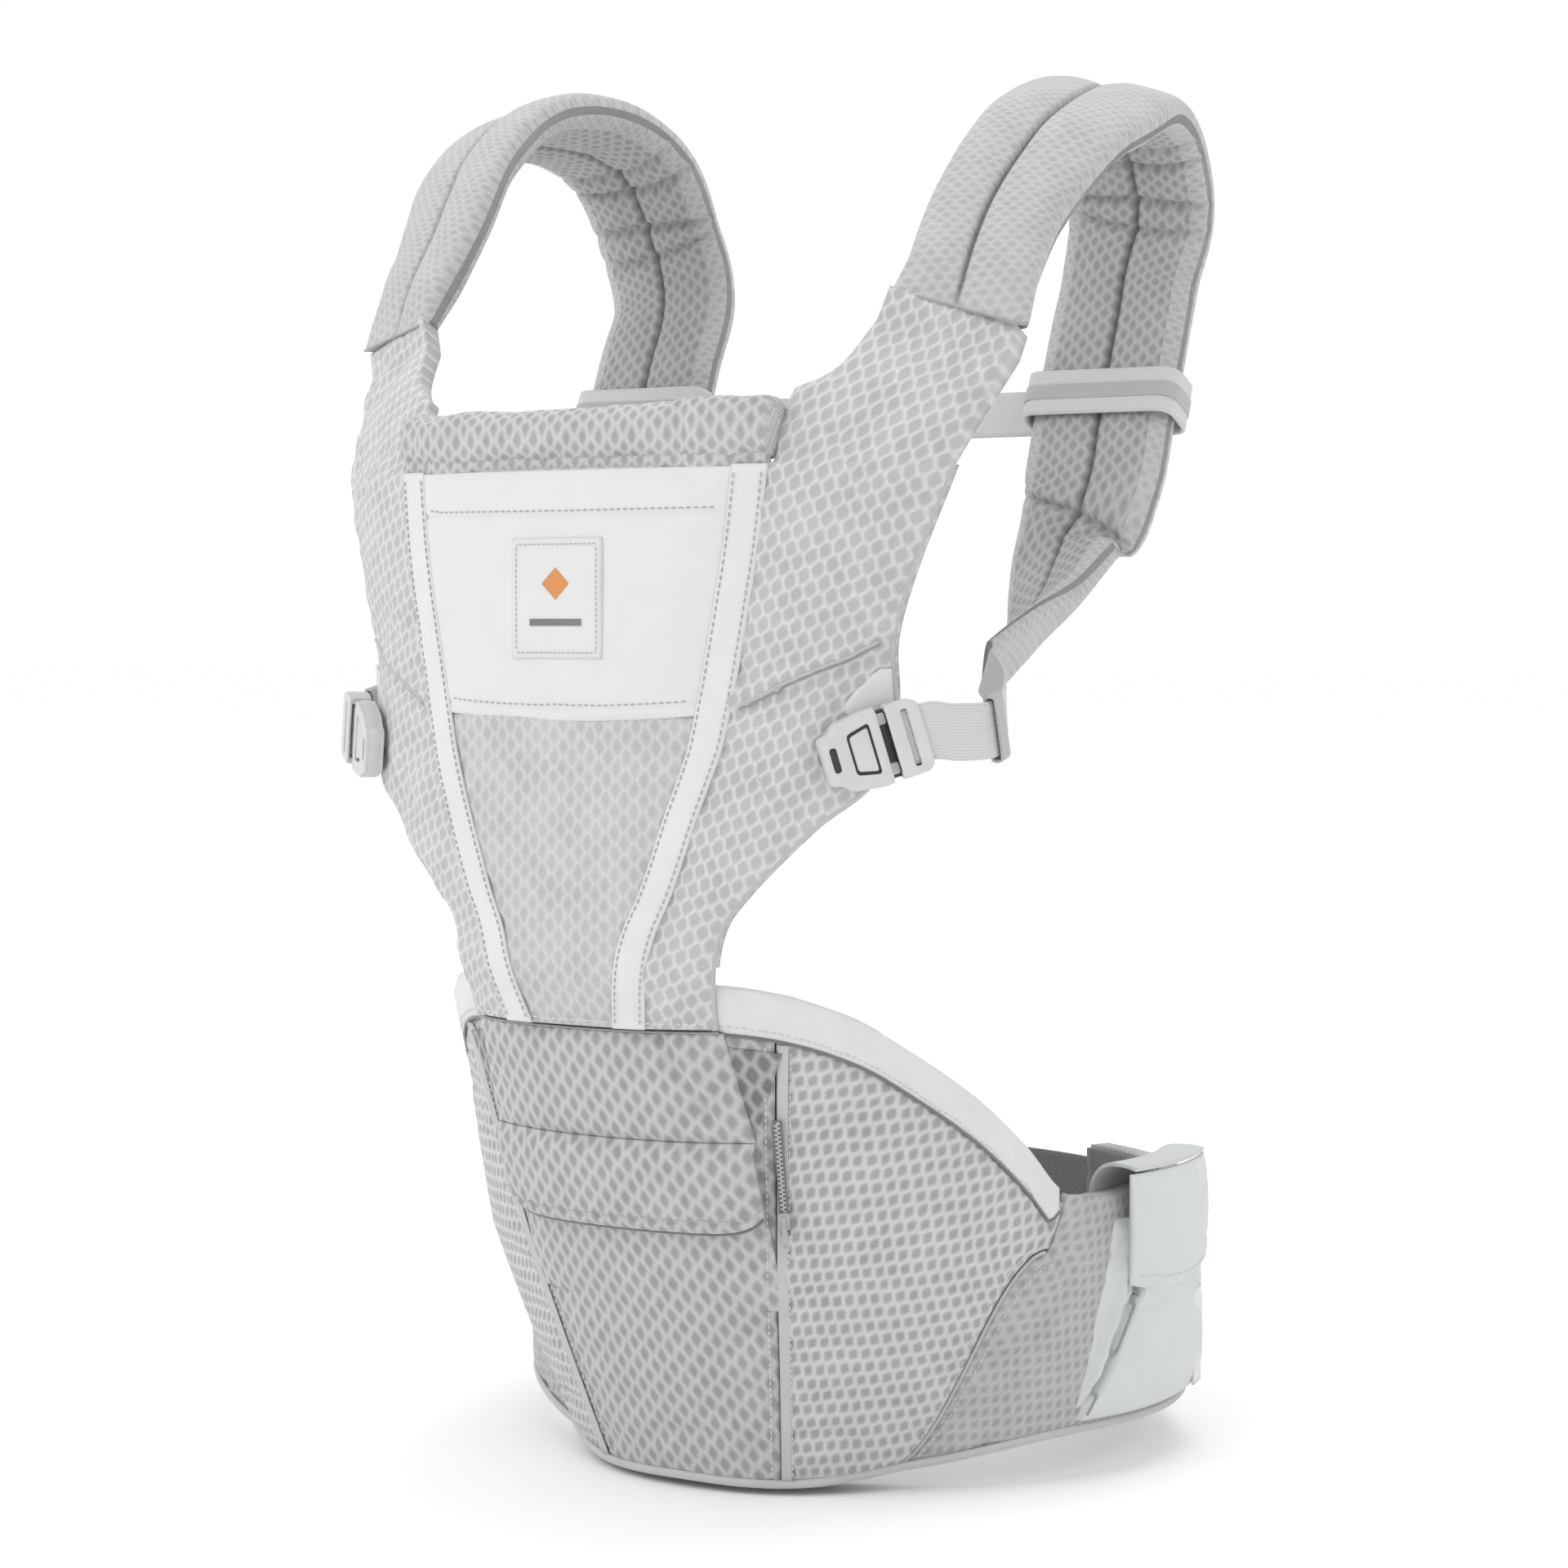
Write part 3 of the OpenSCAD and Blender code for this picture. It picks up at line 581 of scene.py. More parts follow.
def bell(x, width):
    """1 at x = 0, falling away over width: the section of a fold, a groove or a ridge."""
    return exp(-(x / width) ** 2)


def crown(s, v, power):
    """1 in the middle of a stuffed piece, falling to 0 at its seams."""
    return (1 - abs(2 * s - 1) ** power) * (1 - abs(2 * v - 1) ** power)


def cloth(name, place, ns, nv, out, back, material, body="carrier", nodes=(),
          puff=2.0, edge=0.4, wrinkle=0.0, size=30.0, uv=None, flip=False, power=6, shape=None, seed=0.0,
          net=None):
    """A stuffed layer over place(s, v, offset): out at its seams plus puff at its middle, back behind."""
    sign = -1 if flip else 1
    front, rear, uvs = [], [], []
    moved = None
    if net:
        columns, lines, grow, pressure, cap = net
        moved = settle([[place(s, v, out) + Vector((0, 0, 0.3 * sin(seed + 9 * s)))
                         for s in steps(0, 1, columns)] for v in steps(0, 1, lines)],
                       grow=grow, pressure=pressure, cap=cap)
    for v in steps(0, 1, nv):
        for s in steps(0, 1, ns):
            rise = crown(s, v, power)
            p = place(s, v, out - edge * (1 - rise) + puff * rise)
            more = wrinkle * ripple(p, size, seed) * rise + (shape(s, v) if shape else 0)
            p = place(s, v, out - edge * (1 - rise) + puff * rise + more)
            if moved:
                p = p + read_net(moved, s, v)
            q = place(s, v, back)
            front.append(sided(p, sign))
            rear.append(sided(q, sign))
            a = uv(s, v) if uv else (p.x, p.z)
            uvs.append((sign * a[0], a[1]))
    n = ns + 1
    count = len(front)
    faces = []
    for i in range(nv):
        for j in range(ns):
            a, b, c, d = i * n + j, i * n + j + 1, (i + 1) * n + j + 1, (i + 1) * n + j
            faces.append((a, b, c, d))
            faces.append((count + d, count + c, count + b, count + a))
    border = list(range(ns)) + [i * n + ns for i in range(nv)]
    border += [nv * n + j for j in range(ns, 0, -1)] + [i * n for i in range(nv, 0, -1)]
    faces += [(b, a, count + a, count + b) for a, b in zip(border, border[1:] + border[:1])]
    if flip:
        faces = [tuple(reversed(f)) for f in faces]
    obj = piece(name, front + rear, faces, uvs + uvs, material, body, nodes)
    return obj


def tube(name, rings, uvs, material, body="carrier", nodes=(), closed=False):
    """A closed form through rings of points in mm."""
    n = len(rings[0])
    m = len(rings)
    points = [p for ring in rings for p in ring]
    faces = []
    for i in range(m if closed else m - 1):
        k = (i + 1) % m
        for j in range(n):
            h = (j + 1) % n
            faces.append((i * n + j, i * n + h, k * n + h, k * n + j))
    if not closed:
        faces.append(tuple(reversed(range(n))))
        faces.append(tuple((m - 1) * n + j for j in range(n)))
    return piece(name, points, faces, uvs, material, body, nodes)


def tape(name, path, across, width, thick, material, body="carrier", nodes=(),
         closed=False):
    """Webbing along a path in mm, with rounded selvedges. across(i) is the width's direction."""
    rings, uvs = [], []
    run = 0.0
    outline = [(-0.5, 0.0), (-0.485, 0.42), (-0.4, 0.5), (-0.2, 0.47), (0.0, 0.47), (0.2, 0.47), (0.4, 0.5),
               (0.485, 0.42), (0.5, 0.0)]
    outline += [(x, -y) for x, y in reversed(outline[1:-1])]
    m = len(path)
    for i, p in enumerate(path):
        before = path[(i - 1) % m] if closed else path[max(i - 1, 0)]
        after = path[(i + 1) % m] if closed else path[min(i + 1, m - 1)]
        d = (after - before).normalized()
        a = across(i)
        side = (a - d * a.dot(d)).normalized()
        up = d.cross(side)
        if i:
            run += (p - path[i - 1]).length
        rings.append([p + side * x * width + up * (y * thick) for x, y in outline])
        uvs.extend([(x * width, run) for x, y in outline])
    return tube(name, rings, uvs, material, body, nodes, closed)


def stitches(name, path, normal, body="carrier", pitch=3.4, length=2.4, radius=0.32, material=THREAD):
    """A row of separate stitches along a path in mm."""
    points, faces, uvs = [], [], []
    total = [0.0]
    for a, b in zip(path, path[1:]):
        total.append(total[-1] + (b - a).length)
    if total[-1] < pitch:
        return None

    def at(distance):
        k = 0
        while k < len(path) - 2 and total[k + 1] < distance:
            k += 1
        share = (distance - total[k]) / max(total[k + 1] - total[k], 1e-6)
        return path[k].lerp(path[k + 1], clamp(share)), normal(k)

    count = int(total[-1] // pitch)
    for i in range(count):
        start, n = at((i + 0.15) * pitch)
        end, _ = at((i + 0.15) * pitch + length)
        d = (end - start).normalized()
        side = d.cross(n).normalized()
        base = len(points)
        for share, size in ((0.0, 0.35), (0.2, 1.0), (0.8, 1.0), (1.0, 0.35)):
            centre = start.lerp(end, share) + n * (radius * (size - 0.6))
            for k in range(6):
                a = k * pi / 3
                points.append(centre + (side * cos(a) + n * sin(a)) * radius * size)
                uvs.append((k * 0.3, share * length))
        for r in range(3):
            for k in range(6):
                h = (k + 1) % 6
                faces.append((base + r * 6 + k, base + r * 6 + h, base + r * 6 + 6 + h, base + r * 6 + 6 + k))
        faces.append(tuple(base + k for k in reversed(range(6))))
        faces.append(tuple(base + 18 + k for k in range(6)))
    return piece(name, points, faces, uvs, material, body)


# ---- waist belt and seat --------------------------------------------------------------------------
def cover_z(t, v):
    return mix(foot_z(t) + 0.6, rim_z(t) - rim_band(t) - 0.6, v)


def belt_line(angle, low, high, out, count=60):
    """Points up the belt along angle(v), as for a seam."""
    return [on_belt(angle(v), cover_z(angle(v), v), out) for v in steps(low, high, count)]


def outward(path):
    """A row's outward direction at each of its points, for stitches on the belt or the panel."""
    def normal(k):
        p = path[min(k, len(path) - 1)]
        return Vector((p.x * 0.8, p.y - 60, 0)).normalized()
    return normal


def sewn(name, path, body="carrier", **values):
    return stitches(name, path, outward(path), body, **values)


def laid(path, cloth_piece, lift):
    """The path in mm moved onto a settled cloth's outer face, lift above it."""
    mesh = cloth_piece.data
    tree = BVHTree.FromPolygons([v.co for v in mesh.vertices], [f.vertices for f in mesh.polygons])
    up = outward(path)
    return [tree.find_nearest((p + up(k) * 3) * MM)[0] / MM + up(k) * lift for k, p in enumerate(path)]


def cord_line(name, path, radius, material, body="carrier", count=8):
    """A thin round cord or piping along a path in mm."""
    rings, uvs = [], []
    run = 0.0
    for i, p in enumerate(path):
        d = (path[min(i + 1, len(path) - 1)] - path[max(i - 1, 0)]).normalized()
        side = d.cross(Vector((0.2, -1, 0.1))).normalized()
        up = d.cross(side)
        if i:
            run += (p - path[i - 1]).length
        rings.append([p + (side * cos(2 * pi * k / count) + up * sin(2 * pi * k / count)) * radius
                      for k in range(count)])
        uvs.extend([(k * radius, run) for k in range(count)])
    return tube(name, rings, uvs, material, body)


belt_end = 150


def make_covers():
    def front(s, v, off):
        t = mix(-front_seam(v), front_seam(v), s)
        return on_belt(t, cover_z(t, v), off)

    def front_uv(s, v):
        p = front(s, v, 0)
        return p.x, p.z

    cloth("front_cover_cloth", front, 100, 130, -0.8, -5, SEAT_MESH, nodes=("front_cover",), uv=front_uv,
          puff=1.2, wrinkle=0.5, size=45, net=(26, 36, 0.012, 1.2, 1.6))

    def side(s, v, off):
        t = mix(front_seam(v) + 0.2, slant_seam(v) - 0.2, s)
        return on_belt(t, cover_z(t, v), off)

    def side_uv(s, v):
        return radians(mix(front_seam(v), slant_seam(v), s)) * 205, side(s, v, 0).z

    def pad(s, v, off):
        t = mix(slant_seam(v) + 0.2, belt_end, s)
        deep = 5 + (belt_pad - 5.5) * clamp((t - 62) / 8)
        return on_belt(t, cover_z(t, v), off if off > -4.5 else -deep)

    def pad_uv(s, v):
        t = mix(slant_seam(v), belt_end, s)
        return radians(t) * 165 + 14, cover_z(t, v)

    def pad_crease(s, v):
        t = mix(slant_seam(v), belt_end, s)
        line = 46 + 22 * v
        return -1.3 * bell(t - line, 1.6)

    for label, flip, sign in SIDES:
        cloth("side_cover_cloth_" + label, side, 90, 130, -0.8, -5, BELT_MESH, uv=side_uv,
              nodes=("side_cover_" + label,), puff=1.6, wrinkle=0.7, size=50, flip=flip, power=10,
              net=(26, 34, 0.015, 1.4, 2.0), seed=2.0 if flip else 0.0)
        cloth("belt_pad_cloth_" + label, pad, 190, 90, -0.8, -9, PAD_MESH, uv=pad_uv,
              nodes=("belt_pad_" + label,), puff=1.2, wrinkle=1.0, size=38, flip=flip, power=10,
              shape=pad_crease, net=(56, 22, 0.02, 1.5, 1.6), seed=5.0 if flip else 1.0)
        seam = belt_line(lambda v: front_seam(v) + 1.0, 0.01, 0.995, 0.35)
        strip = both_ways(seam, sign)
        tape("front_seam_strip_" + label, strip, lambda i: Vector((sign, 0.4, 0)), 5.0, 0.45, SEAM_STRIP)
        for kind, seam_at, shifts, high, out in (("front", front_seam, (-1.2, 1.9), 0.99, 0.7),
                                                 ("slant", slant_seam, (-0.9, 1.3), 0.84, 0.45)):
            for number, shift in enumerate(shifts):
                row = belt_line(lambda v: seam_at(v) + shift, 0.02, high, out)
                sewn("%s_seam_stitch_%s_%d" % (kind, label, number), both_ways(row, sign))
        gap = belt_line(slant_seam, 0.0, 0.84, -0.6)
        cord_line("slant_seam_cord_" + label, both_ways(gap, sign), 0.8, SEAM_STRIP)


def make_rim():
    ends = 61.5

    def band(s, v, off):
        t = mix(-ends, ends, s)
        return on_belt(t, rim_z(t) - (1 - v) * rim_band(t), off)

    def band_uv(s, v):
        t = mix(-ends, ends, s)
        return t * 3.4, v * rim_h

    rim = cloth("seat_rim_cloth", band, 220, 14, 0.3, -5, SMOOTH, nodes=("seat_rim",),
                uv=band_uv, puff=1.3, wrinkle=0.7, size=24, power=4, net=(80, 5, 0.02, 1.0, 1.2))
    under = [on_belt(t, rim_z(t) - rim_band(t) - 0.4, 0.1) for t in steps(-ends, ends, 150)]
    cord_line("rim_shadow_cord", under, 0.7, ZIP_TAPE_AND_SHADOW_CORD)
    row = [on_belt(t, rim_z(t) - rim_band(t) + 2.6, 1.3) for t in steps(3 - ends, ends - 3, 150)]
    sewn("rim_stitch", laid(row, rim, 0.1))

    def top(s, v, off):
        t = mix(1 - ends, ends - 1, s)
        a = on_belt(t, rim_z(t), -7.5)
        b = on_ring(t, curve(belly_line, abs(t)), -belt_pad)
        return a.lerp(b, v) + Vector((0, 0, off))

    cloth("seat_top_cloth", top, 90, 44, -1.0, -5, SMOOTH, nodes=("seat_top", "seat_core"),
          uv=lambda s, v: (s * 300, v * 120), puff=3.0, wrinkle=1.2, size=40, power=6,
          net=(36, 18, 0.03, 2.5, 3.0))


def make_lining():
    def inside(s, v, off):
        t = mix(-belt_end, belt_end, s)
        belly = curve(belly_line, abs(t))
        top = (min(belly, rim_z(t)) if abs(t) < 66 else rim_z(t)) - 2
        return on_ring(t, mix(foot_z(t) + 5, top, v), -off)

    def seam(s, v):
        return -1.4 * bell(v - 0.88, 0.018)

    cloth("belt_lining_cloth", inside, 220, 40, 15.5, 13.5, LINING, nodes=("belt_lining",),
          uv=lambda s, v: (s * 800, v * 120), puff=0.8, wrinkle=0.7, size=26, power=10,
          shape=seam)


def make_binding():
    path = [on_belt(t, foot_z(t) + 1.6, 0.4) for t in steps(-belt_end, belt_end, 240)]
    rings, uvs = [], []
    for i, p in enumerate(path):
        out = Vector((p.x, p.y, 0)).normalized()
        rings.append([p + out * 1.2 * cos(a) + Vector((0, 0, 2.1 * sin(a)))
                      for a in (k * pi / 5 for k in range(10))])
        uvs.extend([(k, i * 4.0) for k in range(10)])
    tube("bottom_binding_roll", rings, uvs, SEAM_STRIP, nodes=("bottom_binding",))


make_covers()
make_rim()
make_lining()
make_binding()


# ---- panel ----------------------------------------------------------------------------------------
def panel_place(x0, x1, z0, z1, surface=on_panel):
    def place(s, v, off):
        z = mix(z0, z1, v)
        return surface(mix(x0(z), x1(z), s), z, off)
    return place


wing_seam = [[81, 365.6], [107, 379.4], [124, 387.8], [138, 396.3]]
wing_seam_x = steps(84, 136.5, 40)


def seam_z(x):
    return curve(wing_seam, x)


# Folds that fan out from the buckle and the strap: depth, a point's z and x, slope, width, and the x
# where the fold begins with the distance over which it deepens
wing_creases = ((1.5, 352, 138, 0.55, 4.5, 92, 26), (1.3, 330, 120, 0.35, 5, 84, 20),
                (1.2, 430, 150, -0.8, 7, 104, 26), (1.0, 486, 120, 0.5, 6, 0, 1))


def wing_folds(s, v):
    """Grooves in the wing: one with a ridge above it along its seam, and the creases."""
    z = mix(panel_foot, wing_top, v)
    x = on_wing(s, z).x
    depth = 1.2 * bell(z - seam_z(x) - 4, 4) - 1.6 * bell(z - seam_z(x) + 2, 2.4)
    for cut, at_z, at_x, slope, width, begin, reach in wing_creases:
        depth -= cut * bell(z - at_z + (at_x - x) * slope, width) * smooth((x - begin) / reach)
    return depth


def make_panel():
    centre = panel_place(lambda z: -tape_x(z), tape_x, panel_foot, panel_top)
    cloth("panel_center_cloth", centre, 60, 120, -0.6, -4, CENTER_MESH, nodes=("panel_center",), puff=0.6,
          wrinkle=0.8, size=40, net=(22, 44, 0.01, 0.8, 1.2))
    liner = panel_place(lambda z: -panel_half(z) + 0.5, lambda z: panel_half(z) - 0.5, panel_foot + 28,
                        panel_top, lambda x, z, off: on_panel(x, z, -off))
    cloth("panel_liner_cloth", liner, 100, 90, 9.0, 4.6, WING_MESH, nodes=("panel_liner",), puff=1.4,
          wrinkle=1.0, size=45, net=(40, 34, 0.02, -1.2, 1.4))
    for label, flip, sign in SIDES:

        def wing(s, v, off):
            z = mix(panel_foot, wing_top, v)
            return on_wing(s, z, off, 10 if off < -3 else 0)

        def wing_uv(s, v):
            p = wing(s, v, 0)
            return p.x * 1.08, p.z

        pad = cloth("panel_wing_cloth_" + label, wing, 70, 230, -0.4, -4.2, WING_MESH,
                    nodes=("panel_wing_" + label,), puff=0.9, edge=1.8, wrinkle=0.9, size=42, flip=flip,
                    power=16, uv=wing_uv, shape=wing_folds, net=(18, 60, 0.02, 1.4, 1.8),
                    seed=3.0 if flip else 0.0)
        band = panel_place(lambda z: tape_x(z) - tape_w / 2, lambda z: tape_x(z) + tape_w / 2, panel_foot,
                           panel_top)
        cloth("edge_tape_cloth_" + label, band, 12, 180, 1.7, 0.2, SMOOTH, nodes=("edge_tape_" + label,),
              puff=0.5, wrinkle=0.5, size=20, flip=flip, power=4)
        for number, shift in enumerate((-tape_w / 2 + 1.6, tape_w / 2 - 1.6)):
            row = [on_panel(sign * (tape_x(z) + shift), z, 2.0)
                   for z in steps(panel_foot + 2, panel_top - 2, 120)]
            sewn("edge_tape_stitch_%s_%d" % (label, number), row, material=STITCH)
        edge = [sided(on_wing(1.0, z, -2.4) - Vector((1.2, 0, 0)), sign)
                for z in steps(panel_foot, panel_top + 2, 120)]
        cord_line("wing_edge_binding_" + label, edge, 1.5, SEAM_STRIP, count=12)
        ridge = [on_panel(sign * x, seam_z(x), 0.7) for x in wing_seam_x]
        cord_line("wing_seam_ridge_" + label, laid(ridge, pad, 0.2), 0.7, SEAM_STRIP)
        dark = [on_panel(sign * x, seam_z(x) - 1.8, -0.1) for x in wing_seam_x]
        cord_line("wing_seam_shadow_" + label, laid(dark, pad, 0), 0.6, SEAM_AND_SHADOW_CORD)
        tack = [on_panel(sign * x, z, 0.8) for x, z in ((91, 338), (95, 329), (99, 320))]
        sewn("wing_tack_" + label, laid(tack, pad, 0.1), pitch=4.2, length=3.6, radius=0.5)

        def patch(s, v, off):
            z = mix(346, 384, v)
            return on_panel(mix(118 + 17 * v ** 2.4, 138.4, s), z, off)

        cloth("buckle_tab_cloth_" + label, patch, 20, 30, 1.6, 0.3, SMOOTH, nodes=("buckle_tab_" + label,),
              puff=0.7, flip=flip)

    def pocket(s, v, off):
        x_share = 2 * s - 1
        z = mix(360.5 + 3.0 * x_share * x_share, panel_top - 1, v)
        half = tape_x(z) - tape_w / 2 + 0.8
        return on_panel(x_share * half, z, off)

    def pocket_fold(s, v):
        return -0.9 * bell(v - 0.82, 0.012) - 0.7 * bell(v - 0.045, 0.012)

    front = cloth("pocket_panel_cloth", pocket, 80, 110, 1.5, 0.3, PALE,
                  nodes=("pocket_panel", "pocket_hem"), puff=1.3, wrinkle=0.8, size=45,
                  power=8, shape=pocket_fold, net=(24, 22, 0.012, 1.0, 1.4))
    for number, share in enumerate((0.835, 0.058)):
        row = [pocket(s, share, 3) for s in steps(0.02, 0.98, 60)]
        sewn("pocket_stitch_%d" % number, laid(row, front, 0.1), radius=0.3, material=STITCH)


label_left = -25
label_right = 22
label_foot = 388
label_top = 441


def make_label():
    """The sewn label with an invented mark: a diamond over a bar."""
    def tag(s, v, off):
        return on_panel(mix(label_left, label_right, s), mix(label_foot, label_top, v), off)

    cloth("front_label_cloth", tag, 24, 24, 5.0, 3.2, PALE, nodes=("front_label",),
          puff=0.3, edge=0.3, power=6)
    for number, (near, far) in enumerate(((0.05, 0.95), (0.95, 0.05))):
        shares = steps(near, far, 12)
        row = [tag(s, near, 5.4) for s in shares] + [tag(far, v, 5.4) for v in shares]
        sewn("label_stitch_%d" % number, row, pitch=2.4, length=1.7, radius=0.22, material=STITCH)

    def patch(name, outline, material):
        front = [on_panel(x, z, 5.7) for x, z in outline]
        back_side = [on_panel(x, z, 5.1) for x, z in outline]
        n = len(outline)
        faces = [tuple(range(n)), tuple(reversed(range(n, 2 * n)))]
        faces += [(i, n + i, n + (i + 1) % n, (i + 1) % n) for i in range(n)]
        piece(name, front + back_side, faces, [(x, z) for x, z in outline * 2], material, "carrier",
              smooth_faces=False)

    patch("label_mark_diamond", [(-8.5, 421), (-1.5, 414), (5.5, 421), (-1.5, 428)], MARK)
    patch("label_mark_bar", [(-15, 402.5), (12, 402.5), (12, 405.5), (-15, 405.5)], MARK_GREY)


def roll_y(x):
    """The roll's middle: straight, then back towards the wings at its ends."""
    return -255 + 7.5 * smooth((abs(x) - 62) / 34)


# The roll's half length, middle height and points round it, and its hinge strip in mm
roll_half = 96.3
roll_z = 486.3
roll_around = 24
strip_half = 96
strip_z = (467, 479)


def make_roll():

    def point(share, turn):
        x = mix(-roll_half, roll_half, share)
        ends = 1 - 0.1 * abs(2 * share - 1) ** 30
        a = 2 * pi * turn
        wide = 11.0 * ends * signed_power(cos(a), 0.75)
        rise = 3.4 * smooth((x - 20) / 70) if sin(a) > 0 else 0
        high = (12.4 + rise) * ends * signed_power(sin(a), 0.8)
        return Vector((x, roll_y(x) + wide, roll_z + high))

    moved = settle([[point(share, k / roll_around) for k in range(roll_around)] for share in steps(0, 1, 40)],
                   around=True, grow=0.025, pressure=4.0, cap=1.6)
    rings, uvs = [], []
    for share in steps(0, 1, 110):
        ring = []
        for k in range(48):
            p = point(share, k / 48) + read_net(moved, k / 48, share, around=True)
            p += Vector((0, 0.5, 0.4)) * ripple(p, 16, 2.0)
            ring.append(p)
            uvs.append((share * 192, k * 1.7))
        rings.append(ring)
    roll = tube("neck_roll_pad", rings, uvs, ROLL_MESH, "neck_roll", ("neck_roll",))

    def gap(s, v, off):
        x = mix(-strip_half, strip_half, s)
        return Vector((x, roll_y(x) - 5.5 - off, mix(*strip_z, v)))

    strip = cloth("roll_hinge_cloth", gap, 60, 10, 1.5, -1.5, ROLL_MESH, body=None)
    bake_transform(strip)


make_panel()
make_label()
make_roll()


# ---- apron, flap pocket and zip on the front of the seat ------------------------------------------
def on_seat(x, z, off=0):
    return on_belt(degrees(asin(x / (belt_half_w + off))), z, off)


flap_half = 69
apron_foot = 171.8
apron_top = 223


def make_apron():
    def apron(s, v, off):
        half = mix(flap_half, 64.5, v)
        return on_seat(mix(-half, half, s), mix(apron_foot, apron_top, v), off)

    def apron_fold(s, v):
        groove = -2.0 * bell(s - 0.93 + 0.14 * v, 0.018) * smooth(v / 0.3)
        return groove + 1.4 * bell(s - 0.965 + 0.12 * v, 0.02) * smooth(v / 0.4)

    cloth("apron_cloth", apron, 100, 44, 3.6, 0.6, SEAT_MESH, nodes=("apron",), puff=1.2, wrinkle=0.8,
          size=35, shape=apron_fold, net=(26, 10, 0.02, 1.2, 1.4))
    seam = [on_seat(x, apron_top + 0.4, 3.6) for x in steps(-64, 64, 60)]
    cord_line("panel_foot_seam", seam, 0.5, SEAM_AND_SHADOW_CORD)
    sewn("panel_foot_stitch", [on_panel(x, panel_foot + 3, 0.9) for x in steps(-62, 62, 60)])

    def pouch(s, v, off):
        return on_seat(mix(-flap_half + 2, flap_half - 2, s), mix(90, 168, v), off)

    cloth("flap_pocket_cloth", pouch, 90, 70, 1.0, 0.2, SEAT_MESH, nodes=("flap_pocket",), puff=1.6,
          edge=1.0, wrinkle=0.6, size=40, power=8)

    def flap(s, v, off):
        x = mix(-flap_half, flap_half, s)
        low = 128.6 + 9.0 * abs(2 * s - 1) ** 10
        sunk = 3.4 * smooth((v - 0.84) / 0.16)
        return on_seat(x, mix(low, 171.6, v), off - sunk)

    def flap_hem(s, v):
        return 0.9 * bell(v - 0.05, 0.03) - 0.9 * bell(v - 0.11, 0.016)

    lid = cloth("pocket_flap_cloth", flap, 110, 44, 8.2, 5.0, SEAT_MESH, "pocket_flap", ("pocket_flap",),
          puff=0.9, edge=1.0, wrinkle=0.7, size=30, shape=flap_hem, net=(28, 9, 0.02, 1.0, 1.2))
    row = [flap(s, 0.12, 8.4) for s in steps(0.02, 0.98, 70)]
    sewn("flap_stitch", laid(row, lid, 0.1), "pocket_flap", material=STITCH)
    # A dark cord under the flap's hem: painted shadow of the flap on the pocket below
    under = [flap(s, -0.012, 5.4) for s in steps(0.01, 0.99, 90)]
    cord_line("flap_shadow_cord", under, 0.9, ZIP_TAPE_AND_SHADOW_CORD, "pocket_flap")


def make_painted_shade():
    """A darker mesh patch laid on the seat beside the apron, down to a point: painted shade for the deeper
    recess there.
    """
    def deep(s, v, off):
        left = mix(68.5, 62, v)
        right = mix(71.0, 84, v)
        return on_seat(mix(left, right, s), mix(180, 217 - 4 * s, v), off)

    for label, flip, sign in SIDES:
        cloth("painted_shade_patch_" + label, deep, 20, 30, 1.1, 0.2, PAINTED_SHADE_MESH, flip=flip, puff=0.4)


zip_lift = Vector((0.6, -2.2, 0))
zip_foot = on_seat(73.5, 128) + zip_lift
zip_head = on_seat(78, 182) + zip_lift
zip_teeth = 26


def make_zip():
    run = (zip_head - zip_foot).normalized()
    side = Vector((1, 0.45, 0)).normalized()
    out = side.cross(run).normalized()
    if out.y > 0:
        out = -out
    path = [zip_foot.lerp(zip_head, s) for s in steps(0, 1, 30)]
    tape("zip_tape_cloth", path, lambda i: side, 4.4, 1.4, ZIP_TAPE_AND_SHADOW_CORD, nodes=("zip_tape",))
    points, faces = [], []
    for i in range(zip_teeth):
        for way in (-1, 1):
            c = zip_foot.lerp(zip_head, (i + 0.5 + 0.25 * way) / zip_teeth) + out * 1.1 + side * (0.55 * way)
            base = len(points)
            points += [c + side * (0.85 * a) + run * (0.55 * b) + out * (0.5 * d)
                       for a in (-1, 1) for b in (-1, 1) for d in (-1, 1)]
            for f in ((0, 1, 3, 2), (4, 6, 7, 5), (0, 4, 5, 1), (2, 3, 7, 6), (0, 2, 6, 4), (1, 5, 7, 3)):
                faces.append(tuple(base + k for k in f))
    piece("zip_teeth", points, faces, None, METAL, "carrier", smooth_faces=False)
    at = zip_foot + run * 8 + out * 2.3

    def local(p):
        return at + run * p[0] + side * p[1] + out * p[2]

    body = plate([even([(-4.2, -2.2), (4, -2.9)], 1.2)], -0.9, 1.0, 0.3)
    bridge = plate([even([(-3, -0.8), (3, -0.8)], 0.5)], 0.9, 1.9, 0.25)
    pull = plate([even([(-13, -1.5), (-2.4, -1.2)], 0.7), even([(-11.8, -0.6), (-9.4, -0.6)], 0.3)],
                 1.3, 2.2, 0.25)
    hard("zip_slider_metal", local, [(body, METAL), (bridge, METAL), (pull, METAL)], "zip_slider",
         ("zip_slider",))


# ---- hard parts from flat outlines ----------------------------------------------------------------
def rounded(corners, radius, count=5):
    """A closed outline with its corners rounded."""
    result = []
    n = len(corners)
    for i, corner in enumerate(corners):
        p = Vector(corners[i - 1])
        q = Vector(corner)
        r = Vector(corners[(i + 1) % n])
        reach = min(radius, (p - q).length * 0.45, (r - q).length * 0.45)
        a = q + (p - q).normalized() * reach
        b = q + (r - q).normalized() * reach
        for t in steps(0, 1, count):
            point = a * (1 - t) ** 2 + q * (2 * t * (1 - t)) + b * t**2
            result.append((point.x, point.y))
    return result


